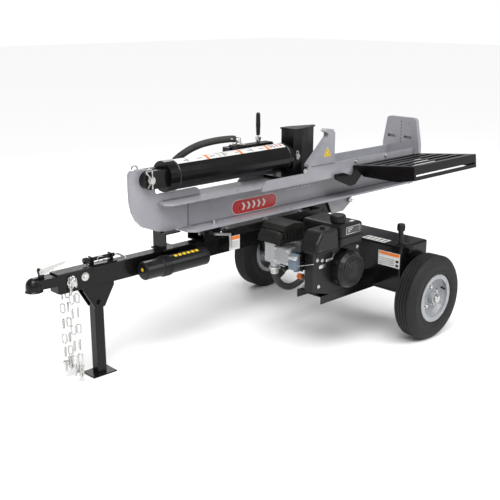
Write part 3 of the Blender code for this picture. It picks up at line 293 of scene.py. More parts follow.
def noise(tree, scale, detail=4.0, stretch=(1.0, 1.0, 1.0)):
    """Noise on Object coordinates; scale is a number or a socket."""
    place = tree.nodes.new("ShaderNodeTexCoord")
    mapping = tree.nodes.new("ShaderNodeMapping")
    mapping.inputs["Scale"].default_value = stretch
    tree.links.new(place.outputs["Object"], mapping.inputs["Vector"])
    node = tree.nodes.new("ShaderNodeTexNoise")
    node.inputs["Detail"].default_value = detail
    if isinstance(scale, (int, float)):
        node.inputs["Scale"].default_value = scale
    else:
        tree.links.new(scale, node.inputs["Scale"])
    tree.links.new(mapping.outputs["Vector"], node.inputs["Vector"])
    return node.outputs["Fac"]


def between(tree, value, low, high):
    """Value brought from low..high to 0..1."""
    node = tree.nodes.new("ShaderNodeMapRange")
    node.inputs["From Min"].default_value = low
    node.inputs["From Max"].default_value = high
    tree.links.new(value, node.inputs["Value"])
    return node.outputs["Result"]


def edge_wear_group():
    """Mask on sharp corners, broken up by noise."""
    tree, given, out = new_group("Edge wear", [("Radius", 0.002), ("Amount", 1.0)],
                                 [("Mask", "NodeSocketFloat")])
    soft = tree.nodes.new("ShaderNodeBevel")
    soft.samples = 4
    tree.links.new(given.outputs["Radius"], soft.inputs["Radius"])
    real = tree.nodes.new("ShaderNodeNewGeometry")
    dot = tree.nodes.new("ShaderNodeVectorMath")
    dot.operation = "DOT_PRODUCT"
    tree.links.new(soft.outputs["Normal"], dot.inputs[0])
    tree.links.new(real.outputs["Normal"], dot.inputs[1])
    corner = between(tree, maths(tree, "SUBTRACT", 1.0, dot.outputs["Value"]), 0.02, 0.22)
    patchy = between(tree, noise(tree, 60.0), 0.42, 0.62)
    worn = maths(tree, "MULTIPLY", maths(tree, "MULTIPLY", corner, patchy), given.outputs["Amount"],
                 clamp=True)
    tree.links.new(worn, out.inputs["Mask"])
    return tree


def dust_group():
    """Mask of dust that settles on faces that look up, and in patches elsewhere."""
    tree, given, out = new_group("Dust", [("Amount", 0.2), ("Scale", 9.0)], [("Mask", "NodeSocketFloat")])
    real = tree.nodes.new("ShaderNodeNewGeometry")
    split = tree.nodes.new("ShaderNodeSeparateXYZ")
    tree.links.new(real.outputs["Normal"], split.inputs[0])
    up = between(tree, split.outputs["Z"], -0.3, 1.0)
    cloud = between(tree, noise(tree, given.outputs["Scale"], 8.0), 0.35, 0.75)
    settled = maths(tree, "MULTIPLY", maths(tree, "MULTIPLY", up, cloud), given.outputs["Amount"],
                    clamp=True)
    tree.links.new(settled, out.inputs["Mask"])
    return tree


def grain_group():
    """Fine surface height, a rough band around it and a slight change of tone."""
    tree, given, out = new_group(
        "Grain", [("Scale", 300.0), ("Roughness", 0.4), ("Spread", 0.1)],
        [("Height", "NodeSocketFloat"), ("Roughness", "NodeSocketFloat"), ("Tone", "NodeSocketFloat")])
    fine = noise(tree, given.outputs["Scale"], 3.0)
    broad = noise(tree, 14.0, 6.0)
    swing = maths(tree, "MULTIPLY", maths(tree, "SUBTRACT", broad, 0.5), given.outputs["Spread"])
    tree.links.new(fine, out.inputs["Height"])
    tree.links.new(maths(tree, "ADD", given.outputs["Roughness"], swing, clamp=True),
                   out.inputs["Roughness"])
    tree.links.new(between(tree, broad, 0.25, 0.75), out.inputs["Tone"])
    return tree


def streak_group():
    """Long scuffs along X, for rubbed and rolled metal."""
    tree, given, out = new_group("Streaks", [("Scale", 40.0), ("Amount", 0.5)],
                                 [("Mask", "NodeSocketFloat")])
    drawn = noise(tree, given.outputs["Scale"], 5.0, (0.12, 1.0, 1.0))
    tree.links.new(maths(tree, "MULTIPLY", between(tree, drawn, 0.52, 0.68), given.outputs["Amount"],
                         clamp=True),
                   out.inputs["Mask"])
    return tree


EDGE_WEAR, DUST, GRAIN, STREAKS = edge_wear_group(), dust_group(), grain_group(), streak_group()


# ------------------------------------------------------------------ finishes
def place_group(tree, group, **values):
    node = tree.nodes.new("ShaderNodeGroup")
    node.node_tree = group
    for label, value in values.items():
        node.inputs[label].default_value = value
    return node


def tint(tree, mask, under, over):
    """Colour under, turned to colour over where the mask is 1."""
    node = tree.nodes.new("ShaderNodeMix")
    node.data_type = "RGBA"
    tree.links.new(mask, node.inputs["Factor"])
    for socket, value in ((node.inputs[6], under), (node.inputs[7], over)):
        if isinstance(value, tuple):
            socket.default_value = (*value, 1.0)
        else:
            tree.links.new(value, socket)
    return node.outputs[2]


def finish(name, colour, shade=None, roughness=0.4, metallic=0.0, coat=0.0, grain=300.0, depth=0.0002,
           spread=0.15, bare=None, wear=0.0, radius=0.002, dust=0.0, streaks=0.0,
           gloss=0.5, dust_colour=(0.30, 0.28, 0.25)):
    """A finish: base tone and its darker shade, worn corners, streaks, dust and fine grain."""
    material = bpy.data.materials.new(name)
    material.use_nodes = True
    tree = material.node_tree
    shader = tree.nodes["Principled BSDF"]
    shader.inputs["Metallic"].default_value = metallic
    shader.inputs["Specular IOR Level"].default_value = gloss
    shader.inputs["Coat Weight"].default_value = coat
    shader.inputs["Coat Roughness"].default_value = 0.15
    surface = place_group(tree, GRAIN, Scale=grain, Roughness=roughness, Spread=spread)
    shade = shade or tuple(c * 0.8 for c in colour)
    tone = tint(tree, surface.outputs["Tone"], shade, colour)
    bare = bare or tuple(min(1.0, c * 2.0 + 0.05) for c in colour)
    if streaks:
        tone = tint(tree, place_group(tree, STREAKS, Amount=streaks).outputs["Mask"], tone, bare)
    if wear:
        tone = tint(tree, place_group(tree, EDGE_WEAR, Radius=radius, Amount=wear).outputs["Mask"], tone,
                    bare)
    if dust:
        tone = tint(tree, place_group(tree, DUST, Amount=dust).outputs["Mask"], tone, dust_colour)
    tree.links.new(tone, shader.inputs["Base Color"])
    tree.links.new(surface.outputs["Roughness"], shader.inputs["Roughness"])
    bump = tree.nodes.new("ShaderNodeBump")
    bump.inputs["Distance"].default_value = depth
    bump.inputs["Strength"].default_value = 0.6
    tree.links.new(surface.outputs["Height"], bump.inputs["Height"])
    tree.links.new(bump.outputs["Normal"], shader.inputs["Normal"])
    return material


FINISH = {
    "black paint": finish("black paint", (0.0045, 0.0045, 0.005), (0.0025, 0.0025, 0.003), 0.24, coat=0.06,
                          grain=420.0,
                          depth=0.00008, bare=(0.05, 0.05, 0.05), wear=0.4, dust=0.006, gloss=0.22),
    "grey paint": finish("grey paint", (0.300, 0.300, 0.328), (0.255, 0.255, 0.282), 0.30, coat=0.3,
                         grain=380.0,
                         depth=0.00008, bare=(0.42, 0.42, 0.43), wear=0.6, dust=0.06, streaks=0.04),
    "zinc": finish("zinc", (0.66, 0.66, 0.63), (0.50, 0.51, 0.50), 0.30, metallic=1.0, grain=500.0,
                   depth=0.0001,
                   spread=0.25, bare=(0.80, 0.79, 0.76), streaks=0.2, dust=0.08),
    "chrome": finish("chrome", (0.80, 0.80, 0.82), (0.72, 0.72, 0.74), 0.09, metallic=1.0, grain=600.0,
                     depth=0.00003, spread=0.06, streaks=0.1),
    "aluminium": finish("aluminium", (0.46, 0.47, 0.48), (0.34, 0.35, 0.36), 0.42, metallic=1.0, grain=260.0,
                        depth=0.0005, spread=0.2, wear=0.4, dust=0.2),
    "black plastic": finish("black plastic", (0.010, 0.010, 0.0105), (0.006, 0.006, 0.0065), 0.34,
                            grain=520.0,
                            depth=0.00015, bare=(0.04, 0.04, 0.04), wear=0.35, dust=0.008, gloss=0.26),
    "orange plastic": finish("orange plastic", (0.80, 0.19, 0.02), (0.66, 0.14, 0.015), 0.35, grain=400.0,
                             wear=0.2, dust=0.05),
    "hose rubber": finish("hose rubber", (0.016, 0.016, 0.016), (0.010, 0.010, 0.010), 0.55, grain=240.0,
                          depth=0.0006, dust=0.10),
    "hose sleeve": finish("hose sleeve", (0.030, 0.029, 0.028), (0.012, 0.012, 0.012), 0.80, grain=700.0,
                          depth=0.0012, dust=0.15),
    "tyre": finish("tyre", (0.016, 0.016, 0.0165), (0.010, 0.010, 0.0105), 0.60, grain=300.0, depth=0.0004,
                   wear=0.3, bare=(0.03, 0.03, 0.0295), dust=0.015, gloss=0.25),
    "rim paint": finish("rim paint", (0.33, 0.34, 0.36), (0.25, 0.26, 0.28), 0.30, coat=0.3, grain=380.0,
                        wear=0.5, bare=(0.55, 0.55, 0.55), dust=0.12),
    "dark steel": finish("dark steel", (0.016, 0.0155, 0.015), (0.009, 0.0085, 0.008), 0.45, metallic=0.3,
                         grain=260.0, depth=0.0003, wear=0.5, bare=(0.12, 0.11, 0.10), dust=0.03, gloss=0.4),
    "weld": finish("weld", (0.15, 0.15, 0.165), (0.10, 0.10, 0.11), 0.40, grain=150.0, depth=0.0012,
                   dust=0.1),
    "black weld": finish("black weld", (0.013, 0.013, 0.014), (0.008, 0.008, 0.009), 0.30, grain=150.0,
                         depth=0.0012, dust=0.08),
    "red film": finish("red film", (0.50, 0.012, 0.016), (0.42, 0.010, 0.013), 0.28, coat=0.4, dust=0.05),
    "white film": finish("white film", (0.74, 0.74, 0.72), (0.66, 0.66, 0.64), 0.32, coat=0.3, dust=0.05),
    "yellow film": finish("yellow film", (0.82, 0.56, 0.02), (0.74, 0.48, 0.02), 0.32, coat=0.3, dust=0.05),
    "orange film": finish("orange film", (0.82, 0.20, 0.02), (0.72, 0.17, 0.02), 0.32, coat=0.3, dust=0.05),
    "black film": finish("black film", (0.010, 0.010, 0.010), (0.006, 0.006, 0.006), 0.32, coat=0.3,
                         dust=0.04),
    "silver film": finish("silver film", (0.55, 0.56, 0.57), (0.46, 0.47, 0.48), 0.28, metallic=0.8,
                          dust=0.05),
    "bluish plastic": finish("bluish plastic", (0.13, 0.17, 0.21), (0.10, 0.13, 0.16), 0.40, dust=0.08),
}
FINISH_OF = {"hose_rubber": "hose rubber", "rim_paint": "rim paint", "black_paint": "black paint",
             "grey_paint": "grey paint", "black_plastic": "black plastic",
             "orange_plastic": "orange plastic",
             "dark_steel": "dark steel", "zinc": "zinc", "chrome": "chrome", "aluminium": "aluminium",
             "tyre": "tyre"}


def dress_frame():
    """Gives every node of the frame the finish of its material slot."""
    for part in frame["record"]["subparts"]:
        mesh = SPLITTER[part["node"]].data
        mesh.materials.clear()
        mesh.materials.append(FINISH[FINISH_OF[part["material_slot"]]])


dress_frame()


# ------------------------------------------------------------------ wheels
RIBS = 5                    # tread ribs across a tyre
ZIGZAGS = 30                # zigzags round a groove


def tyre(name, side):
    """Tyre with zigzag grooves between its ribs, and fine rings on its walls."""
    low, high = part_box(f"tyre_{name}")
    half = (high.y - low.y) / 2
    groove, deep, tread = 0.0045, 0.0065, half - 0.020
    pitch = 2 * tread / RIBS
    outer = [(0.1003, -0.0445), (0.1165, -0.046), (0.118, -half + 0.004), (0.130, -half + 0.001),
             (0.134, -half + 0.0032), (0.150, -half + 0.0004), (0.166, -half + 0.0014),
             (0.169, -half + 0.004),
             (0.178, -half + 0.0045), (0.181, -half + 0.0075), (0.190, -half + 0.0105),
             (0.1965, -tread - 0.004)]
    crown = []
    for rib in range(RIBS):
        start = -tread + rib * pitch
        top = TYRE_R - 0.0005 - 0.35 * (start + pitch / 2) ** 2
        crown += [(top, start + groove / 2), (top, start + pitch - groove / 2)]
        if rib < RIBS - 1:
            crown += [(top - deep, start + pitch - groove / 3), (top - deep, start + pitch + groove / 3)]
    wall = [(r - 0.008 if r > 0.12 else r, a * 0.86) for r, a in outer[2:]]
    inner = [(0.1003, -0.036)] + wall[:-1] + [(0.186, 0.0)]
    mirror = [(r, -a) for r, a in wall[:-1]][::-1] + [(0.1003, 0.036)]
    profile = outer + crown + [(r, -a) for r, a in outer[::-1]] + mirror + inner[::-1][:-1] + [inner[0]]
    centre = Vector((0.0, side * WHEEL_Y, TYRE_R))
    steps = ZIGZAGS * 4
    shape = turned(profile, (0, 0, 0), (0, 0, 1), steps)
    for v in shape.verts:
        out = math.hypot(v.co.x, v.co.y)
        if out > 0.192 and abs(v.co.z) < tread - pitch / 2:
            turn = math.atan2(v.co.y, v.co.x) / math.tau * ZIGZAGS
            v.co.z += 0.0022 * (4 * abs((turn % 1.0) - 0.5) - 1)
    shape.transform(Matrix.Translation(centre) @ aim((0, side, 0)))
    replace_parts(add(f"tyre_{name}_tread", f"wheel_{name}", "tyre", shape, smooth=28), f"tyre_{name}")


def wheel_trim(name, side):
    """Hub cap, wheel nuts and valve stem."""
    body = f"wheel_{name}"
    hub = side * (WHEEL_Y + 0.0503)
    cap = [(0.0, 0.016), (0.012, 0.0155), (0.019, 0.012), (0.0215, 0.004), (0.0215, 0.0012), (0.024, 0.0),
           (0.0, 0.0)]
    add(f"hub_cap_{name}", body, "zinc", turned(cap, (0, hub, TYRE_R), (0, side, 0), 32))
    nuts = []
    for i in range(5):
        a = math.tau * (i + 0.25) / 5
        at = (0.050 * math.cos(a), side * (WHEEL_Y + 0.0150), TYRE_R + 0.050 * math.sin(a))
        nuts += bolt(at, (0, side, 0), 0.017, 0.008)
    add(f"wheel_nuts_{name}", body, "zinc", *nuts)
    stem = Vector((0.082, side * (WHEEL_Y + 0.0215), TYRE_R + 0.030))
    out = Vector((-0.2, side, -0.1)).normalized()
    add(f"valve_stem_{name}", body, "black plastic",
        bar(stem - out * 0.004, stem + out * 0.016, 0.0052, 16, 0.0042),
        bar(stem + out * 0.016, stem + out * 0.027, 0.0044, 16, edge=0.0006))


for wheel_name, wheel_side in (("near", -1), ("far", 1)):
    tyre(wheel_name, wheel_side)
    wheel_trim(wheel_name, wheel_side)


# ------------------------------------------------------------------ tow end
LINK_WIRE = 0.0033
LINK_PITCH = 0.0330


def link(place, ahead, turn):
    """One long chain link: a wire bent into an oval."""
    half, wide = LINK_PITCH / 2 + LINK_WIRE, 0.0088
    oval = arc(half - wide, 0, wide, -90, 90, 7) + arc(-half + wide, 0, wide, 90, 270, 7)
    shape = tube([(0.0, b, a) for a, b in oval], LINK_WIRE, 8, closed=True)
    shape.transform(Matrix.Translation(place) @ aim(ahead) @ Matrix.Rotation(turn, 4, "Z"))
    return shape


def chain(name, body):
    """Doubled strand of links that hangs from the chain bolt."""
    low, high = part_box(name)
    x, y = (low.x + high.x) / 2, (low.y + high.y) / 2
    top, foot, spread = high.z - 0.008, low.z + 0.026, 0.0125
    path = [(x + 0.006, y, top)] + [(x + spread, y, top - 0.03), (x + spread, y, foot)]
    path += [(x + a, y, foot + b) for a, b in arc(0, 0, spread, -20, -160, 6)]
    path += [(x - spread, y, foot), (x - spread, y, top - 0.03), (x - 0.006, y, top)]
    path = smooth_path(path, 6)
    shapes, walked, index = [], 0.0, 0
    for a, b in zip(path, path[1:]):
        walked += (b - a).length
        if walked >= LINK_PITCH * (index + 0.5):
            sway = 0.10 * math.sin(2.1 * index)
            shapes.append(link(b, b - a, math.radians(45) + (index % 2) * math.pi / 2 + sway))
            index += 1
    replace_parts(add(f"{name}_links", body, "zinc", *shapes, smooth=60), name)


def coupler_trim():
    """Bolts through the coupler, and its lever's spring and rivet."""
    side = (TONGUE_HIGH.y - TONGUE_LOW.y) / 2 + 0.0050
    shapes = []
    for s in (-1, 1):
        shapes += bolt((-1.430, BEAM_Y + s * side, 0.455), (0, s, 0), 0.019, 0.008)
    add("coupler_bolts", "chassis", "zinc", *shapes)
    latch_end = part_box("coupler_latch")[1].x
    rivet = [bar((-1.612, BEAM_Y + s * 0.0125, 0.509), (-1.612, BEAM_Y + s * 0.0150, 0.509), 0.0045, 16,
                 edge=0.0008)
             for s in (-1, 1)]
    add("latch_rivet", "latch", "zinc", *rivet)
    coil = [(latch_end - 0.052 + 0.0050 * math.cos(t), BEAM_Y + 0.0050 * math.sin(t),
             TONGUE_HIGH.z + 0.0065 + 0.0009 * t)
            for t in [math.tau * i / 12 for i in range(12 * 4)]]
    add("latch_spring", "chassis", "zinc", tube(coil, 0.0009, 6))


def stand_lock():
    """Cross tube with a round knob, a wire handle and a spring pin, on top of the tongue."""
    top = TONGUE_HIGH.z + 0.0004
    x0, x1 = -1.392, -1.262
    z = top + 0.026
    shapes = [block(x0, x1, BEAM_Y - 0.022, BEAM_Y + 0.022, top, top + 0.005, 0.0012),
              block(x0 + 0.012, x0 + 0.018, BEAM_Y - 0.018, BEAM_Y + 0.018, top + 0.004, z + 0.012, 0.0012),
              block(x1 - 0.022, x1 - 0.016, BEAM_Y - 0.018, BEAM_Y + 0.018, top + 0.004, z + 0.012, 0.0012)]
    add("stand_lock_bracket", "chassis", "black paint", *shapes)
    add("stand_lock_tube", "chassis", "black paint",
        bar((x0 - 0.004, BEAM_Y, z), (x1 - 0.002, BEAM_Y, z), 0.0088, 24, edge=0.001),
        bar((x0 - 0.022, BEAM_Y, z), (x0 - 0.003, BEAM_Y, z), 0.0135, 24, edge=0.003))
    grip = smooth_path([(x1 - 0.004, BEAM_Y, z), (x1 + 0.012, BEAM_Y, z),
                        (x1 + 0.024, BEAM_Y - 0.004, z - 0.004),
                        (x1 + 0.028, BEAM_Y - 0.020, z - 0.008), (x1 + 0.028, BEAM_Y - 0.042, z - 0.010)], 4)
    add("stand_lock_handle", "chassis", "zinc", tube(grip, 0.0042, 10))
    loop = arc(0, 0, 0.0105, 40, 320, 14)
    pin_x = x0 + 0.045
    wire = [(pin_x + 0.014 * a / 0.0105, BEAM_Y - 0.024, z + 0.004 + b) for a, b in loop] + [
        (pin_x + 0.030, BEAM_Y - 0.024, z - 0.006), (pin_x + 0.046, BEAM_Y - 0.022, z - 0.006)]
    add("stand_spring_pin", "chassis", "zinc", tube(wire, 0.0018, 8))


chain("chain_near", "chain_near_body")
chain("chain_far", "chain_far_body")
coupler_trim()
stand_lock()


# ------------------------------------------------------------------ hoses
CRIMP = 0.026               # length of the crimped ferrule on a hose end


def ferrule(place, ahead, radius):
    """Crimped collar and swivel nut at one end of a hose; ahead points into the hose."""
    place, ahead = Vector(place), Vector(ahead).normalized()
    collar = [(0.0, 0.0), (radius + 0.0022, 0.0), (radius + 0.0026, 0.003), (radius + 0.0020, 0.005)]
    for i in range(3):
        start = 0.006 + i * 0.006
        collar += [(radius + 0.0026, start), (radius + 0.0026, start + 0.004),
                   (radius + 0.0020, start + 0.005)]
    collar += [(radius + 0.0014, CRIMP), (0.0, CRIMP)]
    nut = hexagon(place - ahead * 0.0002, place + ahead * 0.010, radius * 2.7)
    return [turned(collar, place + ahead * 0.008, ahead, 28), nut]


def hose(name, body, points, radius, finish_name, ends=(True, True)):
    """Round hose that repeats its node's route, with a crimped ferrule at each fitted end."""
    curve = bpy.data.curves.new(name, "CURVE")
    curve.dimensions = "3D"
    curve.bevel_depth = radius
    curve.bevel_resolution = 6
    curve.use_fill_caps = True
    path = curve.splines.new("POLY")
    path.points.add(len(points) - 1)
    for knot, point in zip(path.points, points):
        knot.co = (*point, 1.0)
    path.use_smooth = True
    item = bpy.data.objects.new(f"{name}_line", curve)
    bpy.context.scene.collection.objects.link(item)
    curve.materials.append(FINISH[finish_name])
    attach(item, body)
    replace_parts(item, name)
    collars = []
    if ends[0]:
        collars += ferrule(points[0], points[1] - points[0], radius)
    if ends[1]:
        collars += ferrule(points[-1], points[-2] - points[-1], radius)
    fittings = [add(f"{name}_fittings", body, "zinc", *collars)] if collars else []


SUCTION_R = 0.0165
PRESSURE_R = 0.0080
RETURN_R = 0.0090
WORK_R = 0.0100
SLEEVE_R = 0.0165


def hoses():
    """The six hose runs; the two that reach the beam are split on its hinge axis."""
    cx, cz = CRANK_X, CRANK_Z
    inlet_x, inlet_y, inlet_z = cx - 0.02, 0.015, cz - 0.082
    tank_x = TANK_LOW.x
    suction = route((inlet_x, inlet_y, inlet_z - GAP),
                    [(inlet_x, inlet_y, inlet_z - 0.010), (inlet_x + 0.006, inlet_y, inlet_z - 0.050),
                     (inlet_x + 0.045, inlet_y - 0.003, inlet_z - 0.102), (cx + 0.090, 0.010, cz - 0.208),
                     (cx + 0.170, 0.005, cz - 0.185), (tank_x - 0.085, 0.001, 0.262),
                     (tank_x - 0.035, 0.0, 0.2780), (tank_x - 0.012, 0.0, 0.2780)],
                    (tank_x - GAP, 0.0, 0.2780), 6)
    hose("suction_hose", "chassis", suction, SUCTION_R, "hose rubber")
    outlet = (cx + 0.072 + GAP, 0.015, cz)
    pressure = route(outlet, [(cx + 0.085, 0.015, cz), (cx + 0.140, 0.032, cz - 0.016),
                              (cx + 0.190, 0.100, 0.374),
                              (-0.200, 0.190, 0.370), (-0.168, 0.250, 0.390), (-0.155, 0.270, 0.430),
                              (-0.135, 0.268, 0.475), (-0.080, 0.261, 0.498), (0.000, 0.256, 0.506),
                              (0.090, 0.256, 0.515), (0.165, 0.257, PIVOT.z - 0.002),
                              (0.210, 0.263, PIVOT.z),
                              (PIVOT.x - 0.003, 0.275, PIVOT.z), (PIVOT.x, PRESSURE_SPLIT - 0.008, PIVOT.z)],
                     (PIVOT.x, PRESSURE_SPLIT - GAP, PIVOT.z), 6)
    hose("pressure_hose_low", "chassis", pressure, PRESSURE_R, "hose rubber", (True, False))
    rx, ry = RETURN_X, RETURN_Y
    back = route((rx, ry, TANK_TOP + GAP),
                 [(rx, ry, 0.460), (rx + 0.010, ry + 0.001, 0.490), (0.065, 0.437, 0.512),
                  (0.125, 0.438, PIVOT.z - 0.001), (0.185, 0.434, PIVOT.z), (0.220, 0.423, PIVOT.z),
                  (PIVOT.x, RETURN_SPLIT + 0.008, PIVOT.z)], (PIVOT.x, RETURN_SPLIT + GAP, PIVOT.z), 6)
    hose("return_hose_low", "chassis", back, RETURN_R, "hose rubber", (True, False))
    work = route((WORK_PORT.x, WORK_PORT.y, WORK_PORT.z + GAP),
                 [(WORK_PORT.x, WORK_PORT.y, WORK_PORT.z + 0.007),
                  (WORK_PORT.x - 0.004, WORK_PORT.y + 0.002, 0.905),
                  (-0.512, 0.237, 0.9155), (-0.540, 0.243, 0.918), (-0.610, 0.252, 0.917),
                  (-0.690, 0.262, 0.909),
                  (-0.750, 0.273, 0.892), (-0.800, 0.286, 0.866), (-0.832, 0.295, 0.840),
                  (-0.844, 0.289, 0.823), (PORT_X, BEAM_Y + PORT_OUT + 0.012, 0.818)],
                 (PORT_X, BEAM_Y + PORT_OUT + GAP, 0.818), 6)
    hose("work_hose", "beam_body", work, WORK_R, "hose sleeve")
    side = 0.335
    rise = route((PIVOT.x, PRESSURE_SPLIT + GAP, PIVOT.z),
                 [(PIVOT.x, PRESSURE_SPLIT + 0.008, PIVOT.z), (PIVOT.x - 0.006, 0.318, PIVOT.z + 0.004),
                  (PIVOT.x - 0.035, side - 0.002, 0.535), (0.120, side, 0.570), (0.000, side, 0.620),
                  (-0.100, side, 0.690), (-0.160, side - 0.010, 0.770), (-0.180, VALVE_Y + 0.022, 0.822),
                  (-0.196, VALVE_Y + 0.004, 0.840), (VALVE_X + 0.110, VALVE_Y, 0.841)],
                 (VALVE_X + 0.100 + GAP, VALVE_Y, 0.841), 6)
    hose("pressure_hose_high", "beam_body", rise, PRESSURE_R, "hose rubber", (False, True))
    side = 0.3585
    vx, vz = VALVE_X - 0.02, 0.777
    climb = route((PIVOT.x, RETURN_SPLIT - GAP, PIVOT.z),
                  [(PIVOT.x, RETURN_SPLIT - 0.008, PIVOT.z), (PIVOT.x - 0.006, 0.375, PIVOT.z + 0.004),
                   (PIVOT.x - 0.035, side + 0.002, 0.535), (0.080, side, 0.570), (-0.080, side, 0.610),
                   (-0.220, side - 0.008, 0.640), (-0.310, side - 0.040, 0.690),
                   (vx, VALVE_Y + 0.008, 0.740),
                   (vx, VALVE_Y, vz - 0.010)], (vx, VALVE_Y, vz - GAP), 6)
    hose("return_hose_high", "beam_body", climb, RETURN_R, "hose rubber", (False, True))


hoses()


# ------------------------------------------------------------------ engine
def ring_of(count, centre, axis, size, offset=0.0):
    """Blocks of one size, set round a centre."""
    shapes = []
    for i in range(count):
        shape = block(*size)
        turn = Matrix.Rotation(math.tau * (i + offset) / count, 4, axis)
        shape.transform(Matrix.Translation(centre) @ turn)
        shapes.append(shape)
    return shapes


def cooling_dome():
    """Ribs and rings on the recoil cover, and the screws round the blower."""
    cx, cz, face = CRANK_X, CRANK_Z, RECOIL_LOW.y
    rings = [turned([(r, 0.0), (r + w, 0.0), (r + w - 0.0008, h), (r + 0.0008, h)], (cx, face - 0.0002, cz),
                    (0, -1, 0))
             for r, w, h in ((0.026, 0.003, 0.0012), (0.040, 0.004, 0.0016), (0.060, 0.004, 0.0014))]
    ribs = ring_of(18, (cx, face, cz), "Y", (0.045, 0.059, -0.0016, 0.0004, -0.0020, 0.0020, 0.0005))
    ribs += ring_of(6, (cx, face, cz), "Y", (0.078, 0.0895, 0.030, 0.056, -0.009, 0.009, 0.003), 0.5)
    add("recoil_ribs", "chassis", "black plastic", *rings, *ribs)
    add("recoil_hub", "chassis", "dark steel",
        turned([(0.0, 0.0), (0.013, 0.0), (0.012, 0.0030), (0.0, 0.0036)], (cx, face - 0.0002, cz),
               (0, -1, 0), 32))
    screws = []
    for x, z in ((-0.612, 0.472), (-0.580, 0.465), (-0.600, 0.350), (-0.345, 0.482), (-0.332, 0.338)):
        screws += bolt((x, BLOWER_LOW.y, z), (0, -1, 0), 0.009, 0.004)
    add("shroud_screws", "chassis", "zinc", *screws)


def engine_head_trim():
    """Bolts, plug, lead, carburettor and the linkage beside the head."""
    cx = CRANK_X
    covers = []
    for y in (COVER_LOW.y + 0.012, COVER_HIGH.y - 0.012):
        for z in (COVER_LOW.z + 0.012, COVER_HIGH.z - 0.012):
            covers += bolt((COVER_LOW.x, y, z), (-1, 0, 0), 0.009, 0.005)
    add("valve_cover_bolts", "chassis", "zinc", *covers)
    feet = []
    for x in (cx - 0.102, cx + 0.102):
        for y in (-0.323, -0.264):
            feet += bolt((x, y, 0.3102), (0, 0, 1), 0.014, 0.008)
    add("engine_bolts", "chassis", "zinc", *feet)
    plug = Vector((COVER_LOW.x + 0.020, -0.262, 0.425))
    add("plug_boot", "chassis", "black plastic",
        bar(plug + Vector((0.022, 0.0, 0.002)), plug + Vector((-0.016, 0, -0.010)), 0.0080, 16, edge=0.002),
        tube(smooth_path([plug + Vector((-0.012, 0, -0.009)), plug + Vector((-0.024, -0.020, -0.004)),
                          (-0.672, -0.305, 0.432), (-0.650, -0.345, 0.420)], 5), 0.0036, 10))
    add("carburettor", "chassis", "bluish plastic",
        block(-0.700, -0.6655, -0.343, -0.302, 0.430, 0.500, 0.006),
        block(-0.704, -0.690, -0.338, -0.307, 0.436, 0.470, 0.004),
        bar((-0.6700, -0.324, 0.434), (-0.6700, -0.324, 0.418), 0.012, 20, edge=0.002))
    add("carburettor_clear", "chassis", "silver film",
        block(-0.7025, -0.672, -0.345, -0.306, 0.476, 0.496, 0.003))
    rods = [tube(smooth_path(points, 4), 0.0014, 8) for points in (
        [(-0.640, -0.3965, 0.4615), (-0.665, -0.390, 0.462), (-0.680, -0.365, 0.456),
         (-0.688, -0.345, 0.452)],
        [(-0.524, -0.4005, 0.4615), (-0.518, -0.4015, 0.480), (-0.506, -0.4005, 0.486)])]
    add("governor_rods", "chassis", "zinc", *rods)
    pin = [bar((-0.523, -0.3925, 0.4615), (-0.523, -0.4015, 0.4615), 0.004, 16, edge=0.0006)]
    add("throttle_pivot", "chassis", "zinc", *pin)
    bracket = block(-0.600, -0.556, -0.3935, -0.3922, 0.430, 0.446, 0.0004)
    add("governor_bracket", "chassis", "zinc", bracket)
    case = [block(cx - 0.0975, cx - 0.094, y, y + 0.006, 0.325, 0.400, 0.001) for y in (-0.335, -0.310,
        -0.258)]
    add("crankcase_ribs", "chassis", "aluminium", *case)


